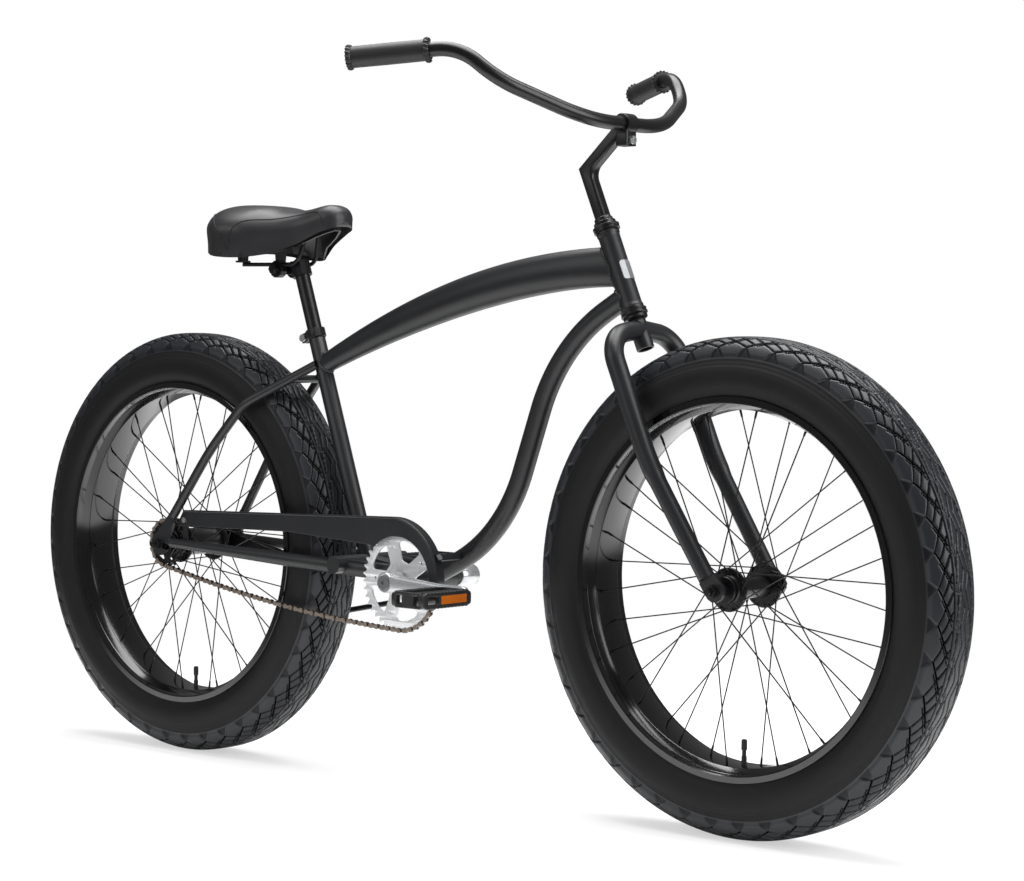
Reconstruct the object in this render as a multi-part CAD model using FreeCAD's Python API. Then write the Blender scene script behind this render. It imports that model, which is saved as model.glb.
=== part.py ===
import FreeCAD, Part
import math
import os

# Fat tyre cruiser bicycle, in millimetres: X forward, Y to the rider's left, Z up, ground at Z = 0.
# The origin is on the ground, half way between the two axles.

# General fits
overrun = 5.0
running_clearance = 0.05
seat_clearance = 0.2
weld_gap = 0.1

# Overall layout
wheel_gap = 464.0
tyre_radius = 373.0
bottom_bracket_drop = 29.0
head_angle = 66.8
fork_offset = 39.5
fork_crown_gap = 82.0
seat_angle = 71.3
seat_tube_setback = 133.0
seat_tube_extra = 59.0
bracket_tyre_gap = 197.0

# Tyre and inner tube
tyre_width = 114.0
crown_flat = 44.0
tread_thickness = 9.0
sidewall_thickness = 4.5
tyre_height = 93.5
inner_tube_wall = 2.0
inner_tube_gap = 3.0
inner_tube_crown_share = 0.55
valve_radius = 4.2
valve_length = 42.0
shoulder_out_share = 0.92
shoulder_drop_share = 0.355
shoulder_middle_out_share = 0.71
shoulder_middle_drop_share = 0.125
bulge_drop_share = 0.65

# Rim
rim_width = 100.0
rim_wall = 3.0
rim_flange_height = 6.0
rim_well_depth = 11.5
rim_well_half = 24.0
rim_shelf_start = 35.0
rim_edge_depth = 5.5

# Spokes and nipples
spoke_count = 36
spoke_radius = 1.0
spoke_sides = 4
spoke_cross_angle = 60.0
nipple_radius = 2.1
nipple_length = 12.0
nipple_row_offset = 11.0
spoke_outer_lift = 5.5
spoke_inner_lift = 3.2

# Front hub and axle
front_hub_half = 56.0
front_flange_offset = 44.0
front_flange_radius = 33.0
front_barrel_radius = 16.0
front_locknut_half = 75.0
axle_radius = 5.0
hub_end_radius = 20.0
flange_thickness = 4.0
spoke_circle_inset = 4.0
bearing_width = 8.0
cone_radius = 9.0
axle_tip_radius = 4.5
axle_tip_length = 8.0

# Rear coaster hub and axle
rear_hub_half = 61.0
rear_flange_offset = 40.0
rear_flange_radius = 36.0
rear_barrel_radius = 24.0
rear_locknut_half = 82.5
brake_arm_thickness = 3.0
brake_arm_offset = 69.0
brake_arm_width = 16.0
brake_arm_length = 165.0
brake_arm_drop = 23.0
brake_cone_radius = 19.0
strap_width = 14.0
strap_thickness = 1.5

# Axle nuts
nut_across_flats = 15.0
nut_thickness = 9.0
washer_radius = 10.5
washer_thickness = 1.5

# Drive train
chain_pitch = 12.7
chainring_teeth = 40
sprocket_teeth = 20
chain_line = 69.0
chain_sag = 12.0
roller_radius = 3.8
chain_inner_width = 3.3
chain_plate_thickness = 1.0
chain_plate_half_height = 4.1
tooth_root_clearance = 0.25
tooth_tip_rise = 3.1
tooth_root_half_gap = 2.6
tooth_tip_half_gap = 5.45
sprocket_thickness = 2.4
chainring_thickness = 3.0
chainring_bore = 15.0
chainring_window_inner = 33.0
chainring_window_outer = 66.0
chainring_window_angle = 50.0
chainring_turn = 34.0
window_outer_shares = ((-1.0, 0.9), (-0.8, 1.0), (0.0, 1.02), (0.8, 1.0), (1.0, 0.9))
window_inner_shares = ((1.0, 1.16), (0.6, 1.0), (-0.6, 1.0), (-1.0, 1.16))
chainring_arms = 5
chainring_hole_radius = 2.4
chainring_hole_circle = 56.0
sprocket_window_inner = 21.0
sprocket_window_outer = 32.0
sprocket_window_angle = 62.0
sprocket_arms = 4
driver_radius = 17.0

# Crank and pedals
crank_length = 166.0
crank_tilt = 3.0
spindle_radius = 8.0
spindle_half = 103.0
crank_boss_radius = 17.0
crank_inner = 90.0
crank_outer = 108.0
crank_end_radius = 13.5
crank_cap_radius = 11.5
crank_cap_thickness = 3.0
crank_arm_thickness = 13.0
pedal_axle_radius = 6.0
pedal_thread_radius = 7.1
pedal_start = 11.0
pedal_length = 110.0
pedal_depth = 68.0
pedal_height = 26.0
pedal_wall = 9.0
pedal_barrel_radius = 11.0
pedal_corner = 9.0
pedal_tooth_count = 6
pedal_tooth_depth = 2.5
pedal_tooth_width_share = 0.45
reflector_length = 58.0
reflector_height = 13.0
reflector_thickness = 3.0
reflector_inset = 11.0

# Frame tubes
head_tube_radius = 17.0
head_tube_bore = 15.0
head_tube_length = 132.0
cup_height = 10.0
cup_radius = 21.0
top_tube_join = 73.0
top_tube_seat_drop = 65.0
top_tube_crest_back_share = 0.449
top_tube_crest_rise = 160.0
top_tube_steps = 10
top_tube_run_shares = (0.0, 0.2, 0.4, 0.6, 0.8, 1.0)
top_tube_half_heights = (31.0, 31.5, 31.0, 29.5, 24.0, 16.5)
top_tube_half_widths = (15.5, 22.0, 24.0, 23.0, 18.0, 13.8)
down_tube_radius = 16.7
down_tube_join = 25.0
down_tube_upper_run = 158.0
down_tube_upper_angle = 30.0
down_tube_upper_bend = 296.0
down_tube_lower_run = 182.0
down_tube_lower_angle = 26.0
down_tube_lower_bend = 268.0
seat_tube_radius = 14.3
seat_post_radius = 12.7
bottom_shell_radius = 21.0
bottom_shell_half = 50.0
bottom_cup_bore = 17.5
bottom_cup_flange = 4.0
stay_rear_forward = 30.0
stay_rear_rise = 3.0
chainstay_half_widths = (8.0, 8.5, 9.0, 10.0, 10.0, 10.0)
chainstay_half_heights = (8.0, 9.5, 11.5, 13.0, 14.0, 14.0)
chainstay_run_shares = (0.0, 0.23, 0.47, 0.69, 0.84, 1.0)
chainstay_spread_shares = (1.0, 0.91, 0.765, 0.61, 0.315, 0.0)
chainstay_front_offset = 39.0
chainstay_front_back = 16.0
chainstay_front_rise = 8.0
seatstay_radius = 8.0
seatstay_foot_forward = 33.0
seatstay_foot_rise = 50.0
seatstay_knee_forward_share = 0.5335
seatstay_knee_rise_share = 0.6729
seatstay_knee_offset = 73.0
seatstay_waist_forward_share = 0.3164
seatstay_waist_rise_share = 0.4504
seatstay_waist_offset = 77.0
seatstay_knee_bend = 62.0
seatstay_waist_bend = 480.0
seatstay_top_offset = 12.0
seatstay_top_drop = 62.0
stay_bridge_radius = 7.0
stay_bridge_share = 0.38
yoke_radius = 15.0
yoke_rise = 18.0
dropout_thickness = 6.0
dropout_eye_radius = 21.0
dropout_slot_length = 24.0
dropout_slot_angle = -16.0

# Head badge, a bare plate
badge_thickness = 1.0
badge_width = 25.0
badge_height = 31.0
badge_corner = 4.0
badge_rise = 62.0

# Headset and fork
steerer_radius = 12.7
steerer_bore = 11.15
steerer_tail = 26.0
race_height = 6.0
race_radius = 19.0
top_race_height = 6.0
top_race_radius = 17.5
locknut_height = 7.0
locknut_radius = 14.8
blade_radius = 15.0
blade_offset = 83.0
blade_foot_offset = 78.0
crown_rise = 6.0
crown_drop = 22.0
crown_bend = 50.0
blade_bend_height = 215.0
blade_bend = 380.0
blade_foot_forward = 33.0
blade_foot_height = 22.0
fork_plate_thickness = 6.0
fork_plate_radius = 17.0

# Stem and handlebar
quill_radius = 11.1
quill_insertion = 78.0
stem_elbow_rise = 81.0
stem_arm_forward = 75.5
stem_arm_rise = 68.5
stem_arm_half_height = 10.5
stem_side_flat = 0.6
stem_flat_drop = 56.0
stem_throat_bend = 20.0
stem_clamp_width = 25.0
stem_clamp_wall = 5.0
stem_ear_half = 11.0
stem_ear_drop = 34.0
stem_bolt_drop = 25.0
stem_slot = 2.0
clamp_bolt_radius = 4.0
clamp_bolt_head_radius = 6.5
clamp_bolt_head_height = 5.0
wedge_length = 26.0
expander_radius = 4.0
bar_radius = 11.1
bar_wall = 2.0
bar_centre_half = 90.0
bar_rise_out = 136.0
bar_rise_back = 64.0
bar_rise_up = 53.0
bar_turn_out = 35.0
bar_turn_back = 46.0
bar_turn_up = 48.0
bar_end_out = 86.0
bar_end_back = 144.0
bar_end_drop = 14.0
bar_bends = (200.0, 130.0, 85.0)
grip_length = 126.0
grip_radius = 16.3
grip_ring_radius = 18.2
grip_ring_width = 7.0
grip_cap = 3.0

# Seat post and saddle
seat_collar_height = 16.0
seat_collar_wall = 2.6
seat_collar_slot = 3.0
seat_collar_ear = 13.0
seat_collar_ear_half = 7.0
post_insertion = 110.0
post_rise = 122.0
post_clamp_height = 26.0
post_clamp_wall = 4.5
cross_bolt_back = 35.0
cross_bolt_radius = 4.0
cross_bolt_half = 36.0
cross_barrel_radius = 9.0
cross_barrel_half = 13.0
washer_disc_radius = 15.0
washer_disc_width = 13.0
rail_radius = 3.5
rail_offset = 22.0
rail_rise = 8.0
saddle_length = 256.0
saddle_half_width = 122.0
saddle_nose_forward = 141.0
saddle_skirt_rise = 18.0
saddle_height = 98.0
saddle_padding = 17.0
saddle_pan_wall = 3.0
saddle_station_shares = (0.0, 0.07, 0.21, 0.40, 0.56, 0.72, 0.88, 0.96, 1.0)
saddle_width_shares = (0.60, 0.87, 1.0, 0.91, 0.64, 0.42, 0.32, 0.24, 0.12)
saddle_bottom_shares = (0.28, 0.12, 0.02, 0.0, 0.07, 0.23, 0.42, 0.50, 0.56)
saddle_top_shares = (0.83, 0.915, 0.955, 0.925, 0.84, 0.845, 0.915, 0.885, 0.80)
saddle_arc_points = 5
saddle_foot_share = 0.93
saddle_bulge_share = 0.42
saddle_brow_out_share = 0.78
saddle_brow_up_share = 0.80
bumper_offset = 45.0
bumper_back = 62.0
bumper_top_radius = 15.0
bumper_foot_radius = 9.0
bumper_plate_thickness = 3.0
bumper_plate_margin = 4.0

# Chain guard
guard_thickness = 2.0
guard_gap = 6.0
guard_outer_radius = 104.0
guard_round_back = 12.0
guard_cut_radius = 73.0
guard_flange_depth = 18.0
guard_rear_forward = 54.0
guard_rear_rise = 61.0
guard_foot_forward = 36.0
guard_foot_rise = 33.0
guard_waist_back = 250.0
guard_waist_rise = 67.0
guard_toe_back = 58.0
guard_toe_rise = 56.0
guard_screw_radius = 3.0
guard_screw_head = 5.0
guard_screw_forward = 57.0
guard_screw_rise = 44.0
guard_tab_width = 11.0
guard_tab_thickness = 3.0
guard_front_tab_angle = 24.0
guard_front_screw_inset = 11.0

# Kickstand
stand_pivot_back = 70.0
stand_pivot_drop = 40.0
stand_eye_radius = 10.0
stand_pin_radius = 5.0
stand_eye_inner = 57.0
stand_eye_width = 14.0
stand_rod_radius = 4.8
stand_knee_back = 120.0
stand_knee_out = 11.0
stand_knee_drop = 24.0
stand_foot_back = 172.0
stand_foot_out = 12.0
stand_foot_drop = 34.0
stand_bend = 160.0
stand_foot_radius = 7.0
stand_foot_length = 34.0
stand_plate_length = 40.0
stand_plate_half = 52.0
stand_plate_thickness = 6.0
stand_block_inner = 34.0

section_points = 12
rod_sides = 12
link_steps = 6
slim_points = 10
wheel_flats = 48
hub_flats = 16
bend_step = 14.0


def vec(x, y, z):
    return FreeCAD.Vector(x, y, z)


ORIGIN = vec(0, 0, 0)
ACROSS = vec(0, 1, 0)
UP = vec(0, 0, 1)
FORWARD = vec(1, 0, 0)


def level_turn(degrees):
    """Unit vector in the bicycle's plane, raised by this angle from straight ahead."""
    angle = math.radians(degrees)
    return vec(math.cos(angle), 0, math.sin(angle))


# Main points of the layout
wheelbase = 2 * tyre_radius + wheel_gap
bead_radius = tyre_radius - tyre_height
fork_length = tyre_radius + fork_crown_gap
seat_tube_length = tyre_radius + seat_tube_extra
rear_axle_point = vec(-wheelbase / 2, 0, tyre_radius)
front_axle_point = vec(wheelbase / 2, 0, tyre_radius)
teeth_step = (chainring_teeth - sprocket_teeth) / math.pi
pitches_wanted = (tyre_radius + bracket_tyre_gap) / chain_pitch
pitches_wrapped = (chainring_teeth + sprocket_teeth) / 2 + teeth_step ** 2 / 4 / pitches_wanted
chain_links = 2 * round(pitches_wanted + pitches_wrapped / 2)
pitches_free = 2 * chain_links - chainring_teeth - sprocket_teeth
pitches_apart = (pitches_free + math.sqrt(pitches_free ** 2 - 8 * teeth_step ** 2)) / 8
chain_centres = chain_pitch * pitches_apart
bracket_reach = math.sqrt(chain_centres ** 2 - bottom_bracket_drop ** 2)
bracket_point = rear_axle_point + vec(bracket_reach, 0, -bottom_bracket_drop)
steer_up = level_turn(180 - head_angle)
steer_forward = level_turn(90 - head_angle)
steer_foot = front_axle_point - steer_forward * fork_offset
seat_up = level_turn(180 - seat_angle)
seat_back = level_turn(270 - seat_angle)
seat_foot = bracket_point - FORWARD * seat_tube_setback
seat_top = seat_foot + seat_up * seat_tube_length
crank_forward = level_turn(-crank_tilt)
chainring_pitch_radius = chain_pitch / 2 / math.sin(math.pi / chainring_teeth)
sprocket_pitch_radius = chain_pitch / 2 / math.sin(math.pi / sprocket_teeth)


def rod(start, end, radius):
    """Bar of even flats between two points, its corners on the radius."""
    along = end - start
    ahead = vec(along.x, along.y, along.z).normalize()
    upright = abs(ahead.z) > abs(ahead.x) + abs(ahead.y)
    side = ahead.cross(ACROSS if upright else UP).normalize()
    return prism(oval(start, side, side.cross(ahead), radius, radius, rod_sides), along)


def turning_bore(radius):
    """Radius of a bore whose flats clear the corners of a bar that turns in it."""
    return radius / math.cos(math.pi / rod_sides) + running_clearance


def sleeve(start, end, outer, inner):
    """Tube of even flats between two points."""
    along = end - start
    stretch = vec(along.x, along.y, along.z).normalize() * overrun
    return rod(start, end, outer).cut(rod(start - stretch, end + stretch, inner))


def prism(points, along):
    """Straight extrusion of a flat closed outline."""
    return Part.Face(Part.makePolygon(points + points[:1])).extrude(along)


def hexagon(centre, along, across_flats, height):
    """Hexagon bar that starts at centre and runs along a unit direction."""
    side = along.cross(UP)
    if abs(along.z) > abs(along.x) + abs(along.y):
        side = along.cross(FORWARD)
    side = side.normalize()
    other = along.cross(side)
    corner = across_flats / math.sqrt(3)
    points = []
    for step in range(6):
        turn = math.radians(60 * step)
        points.append(centre + side * (corner * math.cos(turn)) + other * (corner * math.sin(turn)))
    return prism(points, along * height)


def bent_path(points, bend_radii):
    """Wire of straight runs joined by tangent arcs at the inner points."""
    edges = []
    start = points[0]
    for before, corner, after, radius in zip(points, points[1:], points[2:], bend_radii):
        back = (before - corner).normalize()
        ahead = (after - corner).normalize()
        half = back.getAngle(ahead) / 2
        reach = radius / math.tan(half)
        first = corner + back * reach
        last = corner + ahead * reach
        inward = (back + ahead).normalize()
        middle = corner + inward * (radius / math.sin(half) - radius)
        edges.append(Part.LineSegment(start, first).toShape())
        edges.append(Part.Arc(first, middle, last).toShape())
        start = last
    edges.append(Part.LineSegment(start, points[-1]).toShape())
    return Part.Wire(edges)


def face_through(corners):
    return Part.Face(Part.makePolygon(corners + corners[:1]))


def skinned(rings, flat_sides):
    """Solid through rings of equal point count, closed by the first and last ring."""
    faces = [face_through(rings[0]), face_through(rings[-1])]
    for ring, following in zip(rings, rings[1:]):
        for a, b, c, d in zip(ring, ring[1:] + ring[:1], following[1:] + following[:1], following):
            if flat_sides:
                faces.append(face_through([a, b, c, d]))
            else:
                faces.append(face_through([a, b, c]))
                faces.append(face_through([a, c, d]))
    solid = Part.makeSolid(Part.makeShell(faces))
    if solid.Volume < 0:
        solid.reverse()
    return solid


def bend_stops(points, bend_radii):
    """Ends of the straight runs, and points along the arcs in steps of about one bend_step."""
    stops = []
    for edge in bent_path(points, bend_radii).Edges:
        steps = 1
        if edge.Curve.TypeId == "Part::GeomCircle":
            turn = math.degrees(edge.Length / edge.Curve.Radius)
            steps = max(2, math.ceil(turn / bend_step))
        stops += edge.discretize(steps + 1)[1 if stops else 0:]
    return stops


def mitred_bar(stops, radius, sides, start_normal):
    """Bar of even flats through a row of points, mitred at each and cut square to the last run."""
    ways = [(b - a).normalize() for a, b in zip(stops, stops[1:])]
    first = ways[0]
    upright = abs(first.z) > abs(first.x) + abs(first.y)
    side = first.cross(ACROSS if upright else UP).normalize()
    ring = oval(stops[0], side, side.cross(first), radius, radius, sides)

    def slid(points, way, stop, normal):
        return [point + way * ((stop - point).dot(normal) / way.dot(normal)) for point in points]

    rings = [slid(ring, first, stops[0], start_normal)]
    for stop, way, following in zip(stops[1:], ways, ways[1:] + ways[-1:]):
        rings.append(slid(rings[-1], way, stop, (way + following).normalize()))
    return skinned(rings, True)


def bent_rod(points, bend_radii, radius, sides=section_points):
    """Bar of even flats along straight runs and arcs."""
    return mitred_bar(bend_stops(points, bend_radii), radius, sides, (points[1] - points[0]).normalize())


def oval(centre, side, rise, half_width, half_height, sides=section_points):
    """Corners of a closed section, an ellipse drawn through evenly turned points."""
    points = []
    for step in range(sides):
        turn = 2 * math.pi * (step + 0.5) / sides
        out = side * (half_width * math.cos(turn))
        points.append(centre + out + rise * (half_height * math.sin(turn)))
    return points


def wheel_ring(outline, flats):
    """Ring of even flats round the Y axis from a closed outline of (along, out) pairs, a flat at the foot."""
    outward = 1 / math.cos(math.pi / flats)
    rings = []
    for step in range(flats):
        turn = 2 * math.pi * (step + 0.5) / flats
        way = vec(math.sin(turn), 0, -math.cos(turn)) * outward
        rings.append([ACROSS * along + way * out for along, out in outline])
    faces = []
    for ring, following in zip(rings, rings[1:] + rings[:1]):
        for a, b, c, d in zip(ring, ring[1:] + ring[:1], following[1:] + following[:1], following):
            faces.append(face_through([a, b, c, d]))
    solid = Part.makeSolid(Part.makeShell(faces))
    if solid.Volume < 0:
        solid.reverse()
    return solid


def both_sides(outline):
    """Closed outline of which the half with positive along is given, from the middle to the middle."""
    return outline + [(-along, out) for along, out in reversed(outline) if along > 0]


def between(shares, values, share):
    """Value between the listed ones, in proportion."""
    for low, high, first, second in zip(shares, shares[1:], values, values[1:]):
        if share <= high:
            return first + (second - first) * (share - low) / (high - low)
    return values[-1]


def mirrored(shape):
    """The same piece on the other side of the bicycle."""
    return shape.mirror(ORIGIN, ACROSS)


def two_circle_link(first, first_radius, second, second_radius, along):
    """Plate round two circles, with straight tangent flanks, extruded along a direction."""
    run = second - first
    span = run.Length
    ahead = vec(run.x, run.y, run.z).normalize()
    side = along.cross(ahead).normalize()
    tangent_turn = math.acos((first_radius - second_radius) / span)
    points = []
    for centre, radius, begin, finish in (
        (second, second_radius, tangent_turn, -tangent_turn),
        (first, first_radius, -tangent_turn, tangent_turn - 2 * math.pi),
    ):
        for step in range(link_steps + 1):
            turn = begin + (finish - begin) * step / link_steps
            points.append(centre + ahead * (radius * math.cos(turn)) + side * (radius * math.sin(turn)))
    return prism(points, along)


# Wheels are built round the Y axis at the origin and then set on their axles

def tyre():
    half = tyre_width / 2
    height = tyre_radius - bead_radius
    bead_out = rim_width / 2 - rim_wall - seat_clearance
    bead_foot = bead_radius + seat_clearance
    inner_half = half - sidewall_thickness
    bulge = tyre_radius - height * bulge_drop_share
    return wheel_ring(both_sides([
        (crown_flat / 2, tyre_radius),
        (half * shoulder_middle_out_share, tyre_radius - height * shoulder_middle_drop_share),
        (half * shoulder_out_share, tyre_radius - height * shoulder_drop_share),
        (half, bulge),
        (bead_out, bead_radius + rim_flange_height + rim_wall),
        (bead_out, bead_foot),
        (bead_out - sidewall_thickness, bead_foot),
        (inner_half, bulge),
        (crown_flat / 2, tyre_radius - tread_thickness),
    ]), wheel_flats)


rim_half = rim_width / 2
rim_floor_top = bead_radius - rim_well_depth
rim_floor_under = rim_floor_top - rim_wall
rim_edge_under = bead_radius - rim_edge_depth


def rim():
    inside = rim_half - rim_wall
    whole = wheel_ring(both_sides([
        (rim_well_half, rim_floor_top),
        (rim_shelf_start, bead_radius),
        (inside, bead_radius),
        (inside, bead_radius + rim_flange_height),
        (rim_half, bead_radius + rim_flange_height),
        (rim_half, rim_edge_under),
        (rim_shelf_start + rim_wall, rim_edge_under),
        (rim_well_half + rim_wall, rim_floor_under),
    ]), wheel_flats)
    valve_hole = rod(ORIGIN, vec(0, 0, -tyre_radius), valve_radius + running_clearance)
    return whole.cut(valve_hole)


def inner_tube():
    """Thin ring of rubber between tyre and rim, with its valve at the bottom of the wheel."""
    top = tyre_radius - tread_thickness - inner_tube_gap
    bottom = bead_radius + inner_tube_gap
    middle = (top + bottom) / 2

    def ring(inset):
        waist = (top - bottom) / 2 - inset
        crown = waist * inner_tube_crown_share
        half = [(crown, top - inset), (waist, middle), (crown, bottom + inset)]
        return wheel_ring(both_sides(half), wheel_flats)

    stem_top = rim_floor_under - valve_length + rim_wall
    stem = rod(vec(0, 0, -stem_top), vec(0, 0, -middle), valve_radius)
    return ring(0).fuse(stem).cut(ring(inner_tube_wall))


def spokes(flange_offset, flange_radius):
    """Three-cross lacing: rim places alternate sides, and pairs lean forward and back in turn."""
    pieces = []
    circle = flange_radius - spoke_circle_inset
    flat_step = 2 * math.pi / wheel_flats
    for place in range(spoke_count):
        side = 1 if place % 2 else -1
        leans_forward = (place // 2) % 2
        rim_turn = 2 * math.pi * (place + 0.5) / spoke_count
        flat_turn = flat_step * round(rim_turn / flat_step)
        lean = math.radians(spoke_cross_angle if leans_forward else -spoke_cross_angle)
        lift = spoke_outer_lift if leans_forward else -spoke_inner_lift
        face = flange_thickness / 2 if leans_forward else -flange_thickness / 2
        hub_place = circle * vec(math.sin(rim_turn + lean), 0, math.cos(rim_turn + lean))
        elbow = hub_place + ACROSS * (side * (flange_offset + lift))
        foot = hub_place + ACROSS * (side * (flange_offset + face))
        rim_way = vec(math.sin(rim_turn), 0, math.cos(rim_turn))
        flat_way = vec(math.sin(flat_turn), 0, math.cos(flat_turn))
        reach = rim_floor_under / rim_way.dot(flat_way)
        nipple_seat = rim_way * reach + ACROSS * (side * nipple_row_offset)
        nipple_end = nipple_seat + (elbow - nipple_seat).normalize() * nipple_length
        pieces.append(mitred_bar([foot, elbow, nipple_end], spoke_radius, spoke_sides, ACROSS))
        pieces.append(mitred_bar([nipple_seat, nipple_end], nipple_radius, spoke_sides, flat_way))
    return pieces


def hub(half, flange_offset, flange_radius, barrel_radius):
    """Turned hub shell with two flanges, running on a bearing cone at each end."""
    flange_in = flange_offset - flange_thickness / 2
    flange_out = flange_offset + flange_thickness / 2
    return [wheel_ring(both_sides([
        (flange_in, barrel_radius),
        (flange_in, flange_radius),
        (flange_out, flange_radius),
        (flange_out, hub_end_radius),
        (half, hub_end_radius),
        (half, cone_radius + running_clearance),
    ]), hub_flats)]


def axle(locknut_half, plate_thickness, hub_half):
    """Threaded axle with a slimmer tip past each nut, and a bearing cone with spacer on each side."""
    nut_end = ACROSS * (locknut_half + plate_thickness + washer_thickness + nut_thickness)
    tips = [Part.makeCylinder(axle_tip_radius, axle_tip_length, nut_end * side, ACROSS * side)
            for side in (1, -1)]
    bar = rod(nut_end * -1, nut_end, axle_radius).fuse(tips)
    cone = sleeve(ACROSS * (hub_half - bearing_width), ACROSS * locknut_half, cone_radius, axle_radius)
    return [bar, cone, mirrored(cone)]


def axle_nuts(locknut_half, plate_thickness):
    """Washer and hexagon nut against the outside of each dropout."""
    pieces = []
    washer_start = locknut_half + plate_thickness
    nut_start = washer_start + washer_thickness
    washer = sleeve(ACROSS * washer_start, ACROSS * nut_start, washer_radius, axle_radius)
    nut = hexagon(ACROSS * nut_start, ACROSS, nut_across_flats, nut_thickness)
    nut = nut.cut(rod(ORIGIN, ACROSS * (nut_start + nut_thickness + overrun), axle_radius))
    for piece in (washer, nut):
        pieces.append(piece)
        pieces.append(mirrored(piece))
    return pieces


def placed(pieces, point):
    """Moves pieces built round the origin to where they sit on the bicycle."""
    moved = [piece.copy() for piece in pieces]
    for piece in moved:
        piece.translate(point)
    return moved


# Chain, chainring and rear sprocket

def chain_loop():
    """Runs and arcs of the pitch line: list of (length, function of the distance along it)."""
    line = bracket_point - rear_axle_point
    base = math.atan2(line.z, line.x)
    dip = math.asin((chainring_pitch_radius - sprocket_pitch_radius) / chain_centres)
    upper = base + math.pi / 2 + dip
    lower = base - math.pi / 2 - dip

    def on_circle(centre, radius, turn):
        return centre + vec(radius * math.cos(turn), 0, radius * math.sin(turn))

    run = math.sqrt(chain_centres ** 2 - (chainring_pitch_radius - sprocket_pitch_radius) ** 2)
    front_wrap = upper - lower
    rear_wrap = 2 * math.pi - front_wrap

    def straight(start, end):
        return lambda distance: start + (end - start) * (distance / run)

    def sagging(start, end):
        level = straight(start, end)
        return lambda distance: level(distance) - UP * (
            4 * chain_sag * (distance / run) * (1 - distance / run))

    def arc(centre, radius, first):
        return lambda distance: on_circle(centre, radius, first - distance / radius)

    upper_rear = on_circle(rear_axle_point, sprocket_pitch_radius, upper)
    upper_front = on_circle(bracket_point, chainring_pitch_radius, upper)
    lower_front = on_circle(bracket_point, chainring_pitch_radius, lower)
    lower_rear = on_circle(rear_axle_point, sprocket_pitch_radius, lower)
    return [
        (run, straight(upper_rear, upper_front)),
        (front_wrap * chainring_pitch_radius, arc(bracket_point, chainring_pitch_radius, upper)),
        (run, sagging(lower_front, lower_rear)),
        (rear_wrap * sprocket_pitch_radius, arc(rear_axle_point, sprocket_pitch_radius, lower)),
    ]


def chain_pins():
    """Where each pin of the chain sits on the pitch line, evenly spaced round the loop."""
    stretches = chain_loop()
    whole = sum(length for length, place in stretches)
    pins = []
    for link in range(chain_links):
        distance = whole * link / chain_links
        for length, place in stretches:
            if distance <= length:
                pins.append(place(distance))
                break
            distance -= length
    return pins


def chain():
    """Inner links carry the rollers, and outer plates lie on their sides."""
    inner_half = chain_inner_width / 2
    outer_start = inner_half + chain_plate_thickness

    def plate(start):
        return Part.makeBox(
            chain_pitch + 2 * chain_plate_half_height, chain_plate_thickness, 2 * chain_plate_half_height,
            vec(-chain_plate_half_height, start, -chain_plate_half_height),
        )

    inner_link = [plate(inner_half), mirrored(plate(inner_half))]
    roller_half = roller_radius / math.sqrt(2)
    for place in (0, chain_pitch):
        inner_link.append(Part.makeBox(
            2 * roller_half, chain_inner_width, 2 * roller_half,
            vec(place - roller_half, -inner_half, -roller_half),
        ))
    outer_link = [plate(outer_start), mirrored(plate(outer_start))]
    pins = chain_pins()
    pieces = []
    for link, pin in enumerate(pins):
        following = pins[(link + 1) % chain_links]
        tilt = FreeCAD.Rotation(FORWARD, following - pin)
        place = FreeCAD.Placement(pin - ACROSS * chain_line, tilt)
        for piece in (outer_link if link % 2 else inner_link):
            copy = piece.copy()
            copy.Placement = place.multiply(copy.Placement)
            pieces.append(copy)
    return pieces


def toothed_disc(teeth, pitch_radius, thickness, gap_turn):
    """Sprocket blank with straight-sided teeth, built round the Y axis, one gap at gap_turn."""
    root = pitch_radius - roller_radius - tooth_root_clearance
    tip = pitch_radius + tooth_tip_rise
    points = []
    for tooth in range(teeth):
        middle = gap_turn - 2 * math.pi * tooth / teeth
        corners = (
            (-tooth_tip_half_gap / tip, tip),
            (-tooth_root_half_gap / root, root),
            (tooth_root_half_gap / root, root),
            (tooth_tip_half_gap / tip, tip),
        )
        for spread, radius in corners:
            turn = middle - spread
            points.append(vec(radius * math.cos(turn), -thickness / 2, radius * math.sin(turn)))
    return prism(points, ACROSS * thickness)


def ring_windows(count, inner, outer, angle, thickness, first_turn):
    """Openings between the arms of a sprocket, with their corners cut off."""
    cutters = []
    half = math.radians(angle / 2)
    inner_half = half * (1 - (outer - inner) / (outer + inner))

    def at(radius, turn):
        return vec(radius * math.cos(turn), -thickness, radius * math.sin(turn))

    for window in range(count):
        middle = first_turn + 2 * math.pi * window / count
        points = [at(outer * rise, middle + half * turn) for turn, rise in window_outer_shares]
        points += [at(inner * rise, middle + inner_half * turn) for turn, rise in window_inner_shares]
        cutters.append(prism(points, ACROSS * (2 * thickness)))
    return cutters


def gap_turn_at(centre, pin):
    """Direction from a sprocket's centre to a chain pin that lies on it."""
    way = pin - centre
    return math.atan2(way.z, way.x)


def nearest_pin(centre):
    """A chain pin in the middle of the wrap round a sprocket, so that its teeth mesh."""
    pins = chain_pins()
    outward = centre - (rear_axle_point + bracket_point) * 0.5
    return max(pins, key=lambda pin: (pin - centre).dot(outward))


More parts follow.
